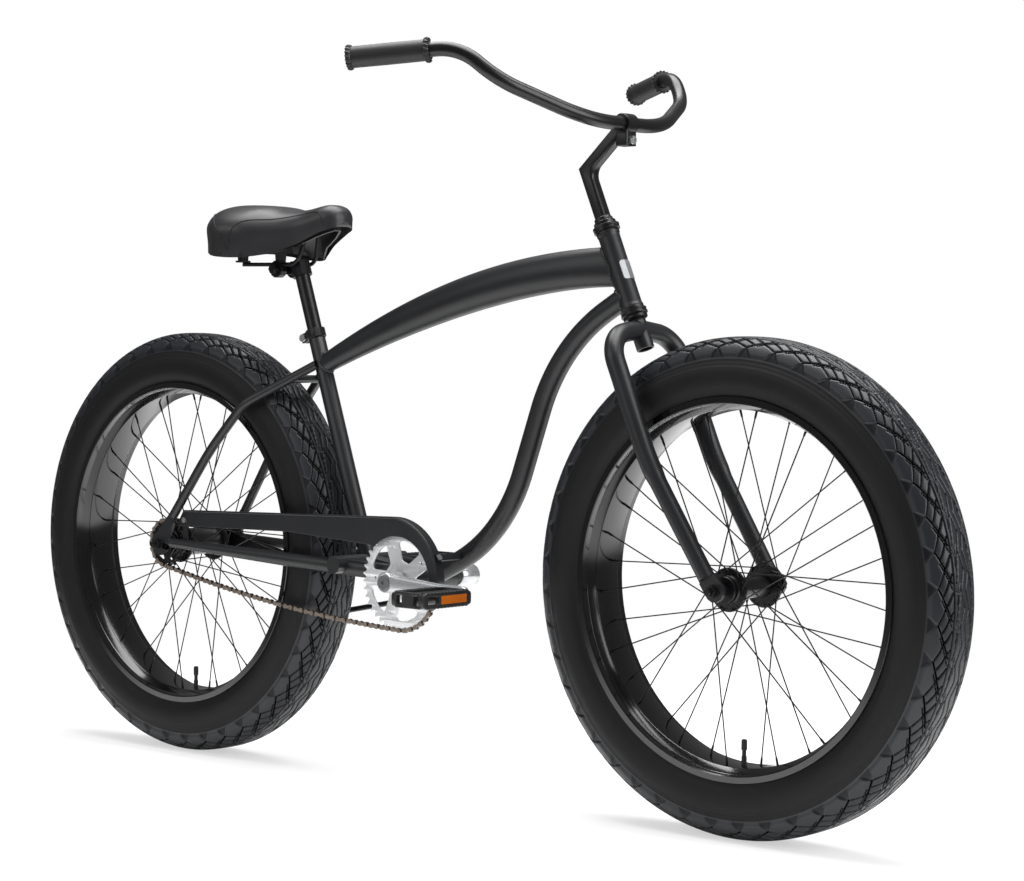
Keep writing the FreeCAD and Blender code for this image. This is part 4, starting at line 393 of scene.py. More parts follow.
def fork_place(ahead, out, height):
    """Point of the fork in millimetres ahead of the steering axis, out to the left and up."""
    return on_steerer(height) + STEER_AHEAD * ahead * MM + ACROSS * out * MM


blade_path = rounded([fork_place(0, 0, 433), fork_place(0, 83, 421), fork_place(0, 83, 215),
                      fork_place(33, 78, 22)], (50 * MM, 380 * MM), 24)
blade_points = len(blade_path)
blade_radius = np.interp(np.arange(blade_points), [0, blade_points - 8, blade_points - 1], [15.0, 15.0, 13.0])
blades = [rod(blade_path * flip, blade_radius, 28, FORWARD) for flip in (np.ones(3), OTHER_SIDE)]
surface("fork_blades_unicrown", blades, powder_coat, "fork", ["fork_blades"])
paint(powder_coat, "fork_dropouts")
soften(0.8, "fork_dropouts")
steerer_profile = [(400, 11.3), (400, 13.4), (401, 14), (446, 14), (448, 12.7), (619.8, 12.7), (620, 11.3)]
surface("steerer_tube_drawn", [lathe(steerer_profile, STEER_FOOT, STEER_UP, 48)],
        powder_coat, "fork", ["steerer_tube"], wrap_u=True)

# Headset and bottom bracket cups: pressed steel rings for the balls to run in, with rolled ridges.
# They are driven into the head tube and screwed into the bracket shell; the races sit on the steerer.
# Satin enamel: black paint baked on smooth metal, with a soft but clear highlight.
black_enamel = finish("satin_black_enamel", "#0a0a0c", "#0f0f11", 6.0, 0.3, 0.03, 0.002)
lower_cup = [(455, 13), (455, 19.5), (456.5, 21.2), (459, 21.2), (460, 19.8), (461.5, 19.8), (462.5, 20.8),
             (464.5, 20.8), (465, 19), (465, 13)]
upper_cup = [(597, 13), (597, 19), (597.6, 20.8), (599.6, 20.8), (600.6, 19.8), (602, 19.8), (603, 21.2),
             (605.5, 21.2), (607, 19.5), (607, 13)]
bracket_cup = [(46, 8.2), (46, 17), (50, 17), (50, 20.4), (50.8, 21), (53.2, 21), (54, 20.2), (54, 8.2)]
cups = [lathe(profile, STEER_FOOT, STEER_UP) for profile in (lower_cup, upper_cup)]
cups += [lathe(bracket_cup, BRACKET, way) for way in (ACROSS, -ACROSS)]
surface("bearing_cups_ridged", cups, black_enamel, "frame", ["bearing_cups"], wrap_u=True)
crown_race = [(449, 12.8), (449, 17.5), (450, 19), (454, 19), (454.9, 18), (454.9, 12.8)]
screwed_race = [(607.1, 12.8), (607.1, 16.8), (608, 17.5), (612, 17.5), (613, 16.6), (613, 12.8)]
locknut = [(613, 12.8), (613, 14.2), (613.6, 14.8), (618.6, 14.8), (620, 13.8), (620, 12.8)]
races = [lathe(profile, STEER_FOOT, STEER_UP) for profile in (crown_race, screwed_race)]
races.append(lathe(locknut, STEER_FOOT, STEER_UP, 8))
surface("headset_races_turned", races, black_enamel, "fork", ["headset_races"], wrap_u=True)

# Tyres: moulded rubber, 114 mm wide: a ring of fine cuts over the crown, crossed cuts and saw-toothed pillows on
# each shoulder, and two fine moulded lines on the sidewall.
WHEELS = (("front", FRONT_AXLE), ("rear", REAR_AXLE))
# The tread repeats in equal pitches round the tyre. Places are in millimetres along the profile from the crown.
PITCHES = 44
PITCH_STEPS = 40
BAND_DEPTH = 6.0
CUT_DEPTH, CUT_FADE = 3.0, 0.6
GROOVE_OFF, GROOVE_HALF = 25.0, 1.5
NOTCH_START, NOTCH_SLOPE, NOTCH_FADE = 48, 0.85, 1.2
SHOULDER_EDGE, WALL_END, WALL_DROP = 57, 69, 3.6
WALL_LINES, LINE_HALF, LINE_HEIGHT = (74.0, 81.0), 0.8, 0.6


def smooth_line(points, count):
    """Catmull-Rom curve through the points: on each span the usual cubic of its four neighbours."""
    points = np.asarray(points, dtype=float)
    padded = np.vstack([2 * points[0] - points[1], points, 2 * points[-1] - points[-2]])
    at = np.linspace(0, len(points) - 1, count)
    span = np.minimum(at.astype(int), len(points) - 2)
    t = (at - span)[:, None]
    p0, p1, p2, p3 = (padded[span + shift] for shift in range(4))
    return 0.5 * (2 * p1 + (p2 - p0) * t + (2 * p0 - 5 * p1 + 4 * p2 - p3) * t ** 2
                  + (3 * p1 - p0 - 3 * p2 + p3) * t ** 3)


def eased(value):
    """Smooth step from 0 to 1: three squares less two cubes."""
    value = np.clip(value, 0, 1)
    return value * value * (3 - 2 * value)


half_profile = [(0, TYRE_RADIUS), (11, 372.9), (22, 372.2), (31.5, 368.6), (40.0, 362.0), (47.0, 352.0),
                (52.2, 340.5), (55.8, 327.0), (57.0, 313.0), (54.8, 300.0), (48.8, 289.5)]
profile = smooth_line([(-y, r) for y, r in half_profile[:0:-1]] + half_profile, 600)
profile_arc = run_length(profile)
profile_arc -= profile_arc[-1] / 2
profile_normal = np.gradient(profile, axis=0)[:, ::-1] * np.array([-1.0, 1.0])
profile_normal /= np.linalg.norm(profile_normal, axis=1, keepdims=True)

# One pitch of the tread on one side: each cut from (millimetres off the crown, share of the pitch) to the same,
# and its width.
CUTS = [((19.5, 0.10), (13.5, 0.80), 2.4), ((9.5, 0.0), (1.5, 0.5), 1.8), ((1.5, 0.5), (9.5, 1.0), 1.8),
        ((9.5, 0.0), (13.0, -0.16), 1.4), ((24.5, 0.02), (20.0, -0.12), 1.2), ((49.0, 0.0), (28.0, -0.87), 2.2),
        ((49.0, -1.0), (38.0, -0.5), 1.2), ((38.0, -0.5), (27.0, -0.13), 2.4),
        ((45.0, -0.33), (28.0, -1.04), 1.2),
        ((43.0, -1.22), (27.0, -0.62), 1.4), ((19.0, 0.55), (14.5, 1.15), 1.4)]


def tread_relief(pitch, arc):
    """Height and painted shade over the tyre's profile. A groove runs round each side of the crown. A cut is
    deepest near its line and fades out at about half its width from it; a triangular notch opens between the
    pillows of the shoulder; past them the wall lies lower, and comes back up to the profile towards the bead,
    with two fine raised lines. The shade is painted dark in the cuts and the groove, and half as dark in the
    notches."""
    off = np.abs(arc)
    length = 2 * np.pi * TYRE_RADIUS / PITCHES
    along = (pitch + 0.5 * (arc < 0)) % 1 * length
    cut = np.clip((GROOVE_HALF - np.abs(off - GROOVE_OFF)) / CUT_FADE, 0, 1) + 0 * along
    for first, last, width in CUTS:
        run = np.array([last[0] - first[0], (last[1] - first[1]) * length])
        for shift in (-1, 0, 1, 2):
            from_first = (off - first[0], along - (first[1] + shift) * length)
            part = np.clip((from_first[0] * run[0] + from_first[1] * run[1]) / (run @ run), 0, 1)
            distance = np.hypot(from_first[0] - part * run[0], from_first[1] - part * run[1])
            cut = np.maximum(cut, np.clip((width / 2 + 0.35 - distance) / CUT_FADE, 0, 1))
    to_notch = np.minimum(along, length - along)
    notch = np.clip(((off - NOTCH_START) * NOTCH_SLOPE - to_notch) / NOTCH_FADE, 0, 1) * eased((off - 44) / 16)
    drop = np.maximum(notch, eased((off - SHOULDER_EDGE) / 9)) * (1 - eased((off - WALL_END) / 20))
    lines = sum(np.exp(-((off - line) / LINE_HALF) ** 2) for line in WALL_LINES)
    height = -CUT_DEPTH * cut - WALL_DROP * drop + LINE_HEIGHT * lines
    return height, np.maximum(cut, 0.5 * notch * (off < 64))


def swept(spot):
    """Rows of (across, out) pairs turned evenly round the axle, from the foot of the wheel forwards."""
    turn = full_turn(len(spot))
    way = np.stack([np.sin(turn), np.zeros_like(turn), -np.cos(turn)], 1)
    return (ACROSS * spot[..., :1] + way[:, None] * spot[..., 1:]) * MM


def tyre_ring(turns, arc, height):
    """Ring of points: the profile at each arc length, lifted along its normal, swept round the axle."""
    spot = along_line(arc, profile_arc, profile)
    lift = along_line(arc, profile_arc, profile_normal)
    return swept(spot[None] + lift[None] * np.broadcast_to(height, (turns, len(arc)))[..., None])


# Carbon-black rubber: dull on the walls; smoother on the tread, with a lighter bluish tone there that is a
# painted highlight; near black in the cuts as painted shade.
# Its pores are drawn coarser than life.
rubber = bpy.data.materials.new("moulded_tyre_rubber")
tree = emptied_tree(rubber)
place = node(tree, "ShaderNodeTexCoord").outputs["Object"]
depth = node(tree, "ShaderNodeAttribute", {"attribute_name": "cut"})
tread_part = node(tree, "ShaderNodeAttribute", {"attribute_name": "tread"})
bloom = node(tree, "ShaderNodeTexNoise", sockets={"Scale": 1 / (45 * MM), "Detail": 4.0}, links={"Vector": place})
wall_tone = node(tree, "ShaderNodeMix", {"data_type": "RGBA"},
                 {FIRST_TONE: linear("#08080a"), SECOND_TONE: linear("#0d0d0e")},
                 {FACTOR: bloom.outputs["Fac"]})
# The tread's lighter, bluish tone is a painted highlight where the light grazes the tread; the wall tone is the
# rubber's own.
painted_tread_highlight = node(tree, "ShaderNodeMix", {"data_type": "RGBA"},
                  {FIRST_TONE: linear("#14161a"), SECOND_TONE: linear("#1b1d22")},
                  {FACTOR: bloom.outputs["Fac"]})
skin = node(tree, "ShaderNodeMix", {"data_type": "RGBA"},
            links={FACTOR: tread_part.outputs["Fac"], FIRST_TONE: wall_tone.outputs[BLEND],
                   SECOND_TONE: painted_tread_highlight.outputs[BLEND]})
# The cuts, the groove and the shoulder notches are painted near black: painted shade in the recesses.
painted_cut_shade = node(tree, "ShaderNodeMix", {"data_type": "RGBA"}, {SECOND_TONE: linear("#010101")},
            {FACTOR: depth.outputs["Fac"], FIRST_TONE: skin.outputs[BLEND]})
pores = node(tree, "ShaderNodeTexNoise", sockets={"Scale": 1 / (1.2 * MM), "Detail": 2.0},
             links={"Vector": place})
bump = node(tree, "ShaderNodeBump", sockets={"Strength": 0.5, "Distance": 0.04 * MM},
            links={"Height": pores.outputs["Fac"]})
rough = node(tree, "ShaderNodeMapRange", sockets={"To Min": 0.58, "To Max": 0.4},
             links={"Value": tread_part.outputs["Fac"]})
sheen = node(tree, "ShaderNodeMapRange", sockets={"To Min": 0.27, "To Max": 0.5},
             links={"Value": tread_part.outputs["Fac"]})
gloss = node(tree, "ShaderNodeMapRange", sockets={"To Max": 0.0},
             links={"Value": depth.outputs["Fac"], "To Min": sheen.outputs["Result"]})
shader = node(tree, "ShaderNodeBsdfPrincipled", links={
    "Base Color": painted_cut_shade.outputs[BLEND], "Roughness": rough.outputs["Result"], "Normal": bump.outputs["Normal"],
    "Specular IOR Level": gloss.outputs["Result"]})
node(tree, "ShaderNodeOutputMaterial", links={"Surface": shader.outputs["BSDF"]})

tread_turns = PITCHES * PITCH_STEPS
tread_pitch = (np.arange(tread_turns) / PITCH_STEPS)[:, None]
tread_bands = {}
for side_name, side in (("left", 1), ("right", -1)):
    tread_arc = side * np.linspace(-0.6, 67, 46)
    relief, cuts = tread_relief(tread_pitch, np.where(tread_arc * side < 0, side * 0.0, tread_arc)[None])
    under_arc = side * np.array([66.0, 44.0, 22.0, 0.0])
    under = tyre_ring(tread_turns, under_arc, -BAND_DEPTH)
    grid = np.concatenate([tyre_ring(tread_turns, tread_arc, relief), under], 1)
    tread_bands[side_name] = grid, np.concatenate([cuts, np.zeros(under.shape[:2])], 1)
# Under the tread bands the wall lies a little lower, inside them.
wall_turns = 264
wall_arc = np.concatenate([np.linspace(-profile_arc[-1], -64, 40), np.linspace(-60, 60, 9),
                           np.linspace(64, profile_arc[-1], 40)])
wall_relief = np.where(np.abs(wall_arc) < 65, -5.0, tread_relief(np.array(0.5), wall_arc)[0])
inner_wall = smooth_line([(48.8, 289.5), (47.0, 284), (46.8, 280.2), (43.0, 280.2), (43.5, 292), (30, 330),
                          (0, 345), (-30, 330), (-43.5, 292), (-43.0, 280.2), (-46.8, 280.2), (-47.0, 284),
                          (-48.8, 289.5)], 26)[1:-1]
wall_grid = np.concatenate([tyre_ring(wall_turns, wall_arc, wall_relief),
                            swept(np.broadcast_to(inner_wall, (wall_turns,) + inner_wall.shape))], 1)
for end, axle in WHEELS:
    surface(end + "_tyre_wall", [wall_grid + axle], rubber, end + "_wheel", [end + "_tyre"],
            wrap_u=True, sharp=60.0)
    for side_name, (grid, cuts) in tread_bands.items():
        tread = surface(end + "_tyre_tread_" + side_name, [grid + axle], rubber, end + "_wheel",
                        wrap_u=True, sharp=70.0)
        for name, values in (("cut", cuts), ("tread", np.ones(cuts.shape))):
            shading = tread.data.attributes.new(name, "FLOAT", "POINT")
            shading.data.foreach_set("value", values.ravel())

# Rims: rolled single-wall aluminium, 100 mm wide, with a sunk centre that carries the nipples.
# The section is bent to a hoop, joined and enamelled.
# Gloss enamel: deep black under a thin clear coat, with narrow bright reflections.
rim_enamel = finish("gloss_black_enamel", "#060607", "#0a0a0c", 2.2, 0.14, 0.03, 0.004, coat=0.4)
rim_profile = [(0, 265), (25.5, 265), (27.5, 265.6), (36.0, 272.8), (38.2, 274), (48.5, 274), (50, 275.5),
               (50, 284.5), (48.8, 285.5), (47.4, 284.6), (47.1, 280), (35, 279.6), (24, 268.2), (0, 268)]
rim_profile = rim_profile + [(-y, r) for y, r in rim_profile[-2:0:-1]]
for end, axle in WHEELS:
    ring = lathe(rim_profile, axle, ACROSS, 180)
    surface(end + "_rim_rolled", [ring], rim_enamel, end + "_wheel", [end + "_rim"],
            wrap_u=True, sharp=25.0)

# Inner tubes: moulded butyl rubber, hidden between tyre and rim but for the valve, a rubber-clad stem with a
# screw cap that comes out through the rim.
# Butyl: dull black with a faint grey bloom.
TUBE_MIDDLE, TUBE_BOW = 321.0, 36
valve_profile = [(-290, 0.5), (-290, 4.2), (-252, 4.0), (-250, 3.2), (-242, 3.2), (-241.5, 4.4), (-228, 4.4),
                 (-226, 3.0), (-226, 0.5)]
butyl = finish("butyl_rubber", "#161617", "#1f1f20", 1.5, 0.55, 0.06, 0.03)
for end, axle in WHEELS:
    turn = full_turn(72)[:, None]
    bow = full_turn(12)[None]
    out = (TUBE_MIDDLE + TUBE_BOW * np.sin(bow)) * MM
    ring = np.stack(np.broadcast_arrays(np.sin(turn) * out, TUBE_BOW * MM * np.cos(bow), -np.cos(turn) * out), -1)
    valve = lathe(valve_profile, axle, UPWARD, 20)
    surface(end + "_inner_tube_valve", [valve], butyl, end + "_wheel")
    surface(end + "_inner_tube_ring", [ring + axle], butyl, end + "_wheel",
            [end + "_inner_tube"], wrap_u=True)

# Spokes: drawn steel wire, laced three-cross, hooked through the hub's flanges and held by nipples at the rim.
# Pulling and pushing spokes take turns, heads out and heads in.
# Black oxide: steel darkened in a bath, with a dull metal sheen.
black_steel = finish("black_oxide_steel", "#18181a", "#232326", 3.0, 0.38, 0.06, 0.01, metallic=0.6)
SPOKES = 36
LACING = math.radians(60)
RIM_SEAT = 265.4
SPOKE_HEAD = [(0, 0.2), (0, 2.1), (0.9, 1.8), (1.2, 0.2)]
NIPPLE_RADII = np.array([1.9, 1.8, 1.4])
# A direction that no spoke runs along, to square their sections to.
SKEW = np.array([0.31, 0.52, 0.79])
# Each hub in millimetres: flange off the middle, flange radius, barrel radius and half length.
hubs = {"front": (44.0, 33.0, 16.0, 56.0), "rear": (40.0, 36.0, 24.0, 61.0)}
for end, axle in WHEELS:
    flange, flange_radius = hubs[end][:2]
    hole_radius = flange_radius - 4
    wires = []
    for hole in range(SPOKES):
        side = 1 if hole % 2 else -1
        ahead = 1 if hole // 2 % 2 else -1
        rim_turn = 2 * math.pi * (hole + 0.5) / SPOKES
        hub_turn = rim_turn + LACING * ahead
        hooked = np.array([hole_radius * math.sin(hub_turn), 0, hole_radius * math.cos(hub_turn)])
        outward = ACROSS * side
        elbow = axle + (hooked + outward * (flange + (5.5 if ahead > 0 else -3.2))) * MM
        far = axle + (hooked + outward * (flange - 3 * ahead)) * MM
        head = axle + (hooked + outward * (flange - 2.0 * ahead)) * MM
        seat = axle + mm(RIM_SEAT * math.sin(rim_turn), side * 11.0, RIM_SEAT * math.cos(rim_turn))
        pull = unit(elbow - seat)
        wire = rounded([far, elbow, seat + pull * 12 * MM], (1.6 * MM,), 5)
        nipple = np.array([seat, seat + pull * 9 * MM, seat + pull * 13 * MM])
        wires += [rod(wire, 1.05, 8, SKEW), rod(nipple, NIPPLE_RADII, 8, SKEW),
                  lathe(SPOKE_HEAD, head, outward * -ahead, 8)]
    surface(end + "_spokes_laced", wires, black_steel, end + "_wheel", [end + "_spokes"])

# Hubs: forged steel shells turned to a slim barrel between two drilled flanges, enamelled black.
# They run on cones on their axles; the rear one hides the coaster brake, whose arm is strapped to the stay.
for end, axle in WHEELS:
    flange, radius, barrel, half = hubs[end]
    side = [(flange - 2, barrel + 1.5), (flange - 2, radius - 1), (flange - 1, radius), (flange + 1, radius),
            (flange + 2, radius - 1), (flange + 2, 22), (flange + 4, 20), (half - 1, 20), (half, 19), (half, 9.2)]
    outline = [(-y, r) for y, r in side[::-1]] + [(-flange + 8, barrel), (flange - 8, barrel)] + side
    surface(end + "_hub_turned", [lathe(outline, axle, ACROSS, 56)], black_enamel, end + "_wheel",
            [end + "_hub"], wrap_u=True)
paint(black_steel, "front_axle", "rear_axle", "front_axle_nuts", "rear_axle_nuts", "brake_arm", "brake_strap")
soften(0.5, "front_axle_nuts", "rear_axle_nuts", "brake_arm")

# Chain: half-inch pitch roller chain of 120 links, pressed steel plates riveted on pins, slack below.
# It runs from the chainring to the sprocket on the rear hub.
# Bronze-brown steel: outer plates browned in their heat treatment, with a warm sheen.
bronze = finish("bronze_brown_steel", "#71665d", "#8f847a", 4.0, 0.3, 0.08, 0.01, metallic=0.5, patch_mm=9.0)
# Rollers and inner plates are painted darker than the outer plates: painted shade where they sit between them.
inner_shade_steel = finish("shaded_inner_steel", "#26211d", "#37302b", 3.0, 0.4, 0.08, 0.02, metallic=0.5, patch_mm=9.0)
PITCH_MM = 12.7
PITCH = PITCH_MM * MM
CHAIN_LINE = -69 * MM
LINKS = 120
SLACK = 12 * MM
PLATE_HALF = 4.4
RING_TEETH, COG_TEETH = 40, 20
ring_radius = PITCH / 2 / math.sin(math.pi / RING_TEETH)
cog_radius = PITCH / 2 / math.sin(math.pi / COG_TEETH)


def chain_pins():
    """Even steps along the pitch line: a straight top run, the wrap of the ring, a sagging lower run (a parabola
    as deep as the slack) and the wrap of the small sprocket."""
    line = BRACKET - REAR_AXLE
    reach = np.linalg.norm(line)
    base = math.atan2(line[2], line[0])
    dip = math.asin((ring_radius - cog_radius) / reach)
    upper, lower = base + math.pi / 2 + dip, base - math.pi / 2 - dip
    run = math.sqrt(reach ** 2 - (ring_radius - cog_radius) ** 2)
    wrap = upper - lower
    lengths = np.array([run, wrap * ring_radius, run, (2 * math.pi - wrap) * cog_radius])
    ends = np.concatenate([[0], np.cumsum(lengths)])
    at = ends[-1] * np.arange(LINKS) / LINKS

    def on_circle(centre, radius, turn):
        """Points at these turns round the centre, in the bicycle's plane."""
        turn = np.asarray(turn, dtype=float)
        return centre + radius * np.stack([np.cos(turn), turn * 0, np.sin(turn)], -1)

    def straight(first, last, distance, sag):
        """Points at these distances along a run, lowered by a parabola that is as deep as the sag half way."""
        part = (distance / run)[:, None]
        return first + (last - first) * part - UPWARD * 4 * sag * part * (1 - part)

    top = straight(on_circle(REAR_AXLE, cog_radius, upper), on_circle(BRACKET, ring_radius, upper),
                   at - ends[0], 0)
    front = on_circle(BRACKET, ring_radius, upper - (at - ends[1]) / ring_radius)
    below = straight(on_circle(BRACKET, ring_radius, lower), on_circle(REAR_AXLE, cog_radius, lower),
                     at - ends[2], SLACK)
    back = on_circle(REAR_AXLE, cog_radius, lower - (at - ends[3]) / cog_radius)
    place = np.searchsorted(ends[1:4], at, side="left")
    return np.choose(place[:, None], [top, front, below, back])


pins = chain_pins()
ahead = np.roll(pins, -1, 0) - pins
ahead /= np.linalg.norm(ahead, axis=1, keepdims=True)
rise = np.cross(ahead, ACROSS)
# A plate's outline: a half circle round each pin and half that height at the waist between them.
waist = full_turn(16)
pin_x = np.where(np.cos(waist) > 1e-6, PITCH_MM, np.where(np.cos(waist) < -1e-6, 0, PITCH_MM / 2))
plate_x = pin_x + PLATE_HALF * np.cos(waist)
plate_z = PLATE_HALF * np.sin(waist) * np.where(np.abs(np.cos(waist)) < 0.2, 0.5, 1.0)
outer_parts, inner_parts = [], []
for link in range(LINKS):
    inner = 1.65 if link % 2 == 0 else 2.7
    for side in (1, -1):
        layers = np.array([inner, inner + 1.0])[:, None] * side
        spot = np.stack([np.broadcast_to(plate_x, (2, 16)), np.broadcast_to(layers, (2, 16)),
                         np.broadcast_to(plate_z, (2, 16))], -1) * MM
        plate = (pins[link] + ACROSS * CHAIN_LINE + spot[..., :1] * ahead[link] + spot[..., 1:2] * ACROSS
                 + spot[..., 2:] * rise[link])
        (outer_parts if link % 2 else inner_parts).append(plate)
roller = [(-1.6, 3.9), (1.6, 3.9)]
rivet = [(-4.3, 1.6), (-3.7, 1.9), (3.7, 1.9), (4.3, 1.6)]
for pin in pins + ACROSS * CHAIN_LINE:
    inner_parts.append(lathe(roller, pin, ACROSS, 10))
    outer_parts.append(lathe(rivet, pin, ACROSS, 8))
surface("chain_links", outer_parts, bronze, "frame", ["chain"])
surface("chain_rollers", inner_parts, inner_shade_steel, "frame")
paint(black_steel, "rear_sprocket")

# Chainring: stamped steel plate with forty teeth and five arms between round-cornered windows.
# It is fixed to the boss of the right crank.
# Silver plate: an even, near-white skin with soft reflections.
silver = finish("satin_silver_plate", "#cfd0d2", "#dadbdc", 2.5, 0.28, 0.05, 0.004, metallic=0.4)


def flat_plate(name, outlines, thickness_mm, bevel_mm, centre, material, body, stands_for=(),
               rounds=1, sharp=30.0, ahead=FORWARD, through=-ACROSS):
    """Flat outlines in an upright plane, the first the rim and the rest holes, filled and given a bevelled edge.
    A point (x, y, z) of the flat curve comes to centre + ahead * x + up * y + through * z."""
    curve = bpy.data.curves.new(name, "CURVE")
    curve.dimensions = "2D"
    curve.fill_mode = "BOTH"
    curve.extrude = (thickness_mm / 2 - bevel_mm) * MM
    curve.bevel_depth = bevel_mm * MM
    curve.bevel_resolution = rounds
    curve.offset = -bevel_mm * MM
    for outline in outlines:
        line = curve.splines.new("POLY")
        line.points.add(len(outline) - 1)
        height_and_weight = np.tile([0.0, 1.0], (len(outline), 1))
        spots = np.concatenate([np.asarray(outline) * MM, height_and_weight], 1)
        line.points.foreach_set("co", spots.ravel())
        line.use_cyclic_u = True
    flat = bpy.data.objects.new(name + "_flat", curve)
    mesh = bpy.data.meshes.new_from_object(flat)
    bpy.data.objects.remove(flat)
    work = bmesh.new()
    work.from_mesh(mesh)
    bmesh.ops.remove_doubles(work, verts=work.verts, dist=0.001 * MM)
    work.to_mesh(mesh)
    work.free()
    spots = np.zeros(len(mesh.vertices) * 3)
    mesh.vertices.foreach_get("co", spots)
    spots = spots.reshape(-1, 3)
    mesh.vertices.foreach_set("co", (centre + spots @ np.array([ahead, UPWARD, through])).ravel())
    mesh.name = name
    return dress(name, mesh, material, body, stands_for, sharp)


def toothed(teeth, radius_mm, first_gap):
    """Tooth outline: in each pitch a root arc, a flank, a narrow tip and a flank, as radius against turn."""
    step = 2 * math.pi / teeth
    part = np.array([-0.2, -0.1, 0.0, 0.1, 0.2, 0.34, 0.42, 0.5, 0.58, 0.66])
    out = radius_mm + np.array([-3.0, -3.8, -4.05, -3.8, -3.0, 0.6, 2.6, 3.1, 2.6, 0.6])
    turn = (first_gap + step * (np.arange(teeth)[:, None] + part[None])).ravel()
    out = np.tile(out, teeth)
    return np.stack([out * np.cos(turn), out * np.sin(turn)], 1)


def window(inner_mm, outer_mm, middle, half_turn, power=0.42):
    """Round-cornered opening between two arms: a superellipse in turn and radius, narrowing to three fifths of
    its turn at the inner end."""
    bend = full_turn(40)
    sweep, rise_part = squarer(np.cos(bend), power), squarer(np.sin(bend), power)
    out = (inner_mm + outer_mm) / 2 + (outer_mm - inner_mm) / 2 * rise_part
    narrow = half_turn * (0.80 + 0.20 * rise_part)
    turn = middle + narrow * sweep
    return np.stack([out * np.cos(turn), out * np.sin(turn)], 1)


def round_hole(radius_mm, at=(0, 0), count=24):
    """Even points on a circle."""
    turn = full_turn(count)
    return np.stack([at[0] + radius_mm * np.cos(turn), at[1] + radius_mm * np.sin(turn)], 1)


front_pin = pins[np.argmax((pins - BRACKET) @ (BRACKET - REAR_AXLE))] - BRACKET
ring_gap = math.atan2(front_pin[2], front_pin[0])
ARMS = 5
ring_arms = math.radians(34) + 2 * np.pi * np.arange(ARMS) / ARMS
outlines = [toothed(RING_TEETH, ring_radius / MM, ring_gap)]
outlines += [window(33, 66, arm + math.pi / ARMS, math.radians(25)) for arm in ring_arms]
outlines += [round_hole(2.4, (56 * math.cos(arm), 56 * math.sin(arm)), 16) for arm in ring_arms]
outlines.append(round_hole(14.9, (0, 0), 40))
flat_plate("chainring_stamped", outlines, 3.0, 0.4, BRACKET + ACROSS * CHAIN_LINE, silver,
           "crank", ["chainring"])

# Crank arms: forged alloy, with a broad boss on the square spindle and an eye for the pedal axle.
# Each is pushed on to the spindle and held by a bolt under a cap.
# Polished alloy: brighter in its reflections than the ring, and darker where it mirrors the room.
CRANK_LENGTH = 166
CRANK_OUT = 101.5
BOSS_RADIUS, EYE_RADIUS = 17, 13.5
polished = finish("polished_forged_alloy", "#b6b8ba", "#c6c7c9", 2.5, 0.26, 0.04, 0.004, metallic=0.75)
# Both ends of an arm are half circles, and its section is a squared oval.
along = np.linspace(-BOSS_RADIUS, CRANK_LENGTH + EYE_RADIUS, 60)
near = np.clip(1 - (np.clip(-along, 0, BOSS_RADIUS) / BOSS_RADIUS) ** 2, 0, 1) ** 0.5
far = np.clip(1 - (np.clip(along - CRANK_LENGTH, 0, EYE_RADIUS) / EYE_RADIUS) ** 2, 0, 1) ** 0.5
tall = np.interp(along, [-BOSS_RADIUS, 0, 30, 120, CRANK_LENGTH],
                 [BOSS_RADIUS, BOSS_RADIUS, 13.5, 11.5, EYE_RADIUS]) * near * far + 0.05
thick = np.interp(along, [-BOSS_RADIUS, 0, 22, CRANK_LENGTH], [6.5, 6.5, 6.2, 6.2]) * (0.35 + 0.65 * near * far)
tilt = level(-3)
CRANKS = (("right", -1, tilt), ("left", 1, -tilt))
for side_name, side, way in CRANKS:
    path = BRACKET + ACROSS * side * CRANK_OUT * MM + way * along[:, None] * MM
    arm = tube(path, thick * MM, tall * MM, 28, ACROSS, 0.6)
    boss_start = 70.5 if side < 0 else 66
    boss_profile = [(boss_start, 8.1), (boss_start, 15.5), (boss_start + 2, BOSS_RADIUS),
                    (106, BOSS_RADIUS), (108, 15.5), (108, 11.5), (107, 8.1)]
    boss = lathe(boss_profile, BRACKET, ACROSS * side, 48)
    surface("crank_arm_forged_" + side_name, [arm, boss], polished, "crank",
            ["crank_arm_" + side_name])
paint(black_steel, "crank_spindle")
# Cap resin: moulded plastic, grey and slightly shiny.
paint(finish("grey_cap_resin", "#4c4d4f", "#5c5d5f", 1.5, 0.36, 0.05, 0.02), "crank_bolts")

# Pedals: moulded resin platforms with toothed rails round a barrel, and a ribbed reflector in each rail.
# They turn on steel axles that are screwed into the eyes of the cranks.
# Black resin: filled plastic from an etched mould, dull and finely pebbled.
resin = finish("moulded_black_resin", "#0b0b0c", "#121213", 0.9, 0.42, 0.05, 0.03)
# Amber acrylic: clear orange plastic over prisms, whose glitter is drawn as a coarse bump under a clear coat.
amber = finish("amber_acrylic", "#8f420a", "#b86517", 3.0, 0.22, 0.05, 0.25, coat=0.5)
paint(amber, "pedal_reflectors_right", "pedal_reflectors_left")
paint(black_steel, "pedal_axles")


def opening(left, right, half_height, corner=2.0):
    """Rectangle with cut corners, for a window in a plate."""
    return [(left + corner, -half_height), (right - corner, -half_height), (right, corner - half_height),
            (right, half_height - corner), (right - corner, half_height), (left + corner, half_height),
            (left, half_height - corner), (left, corner - half_height)]


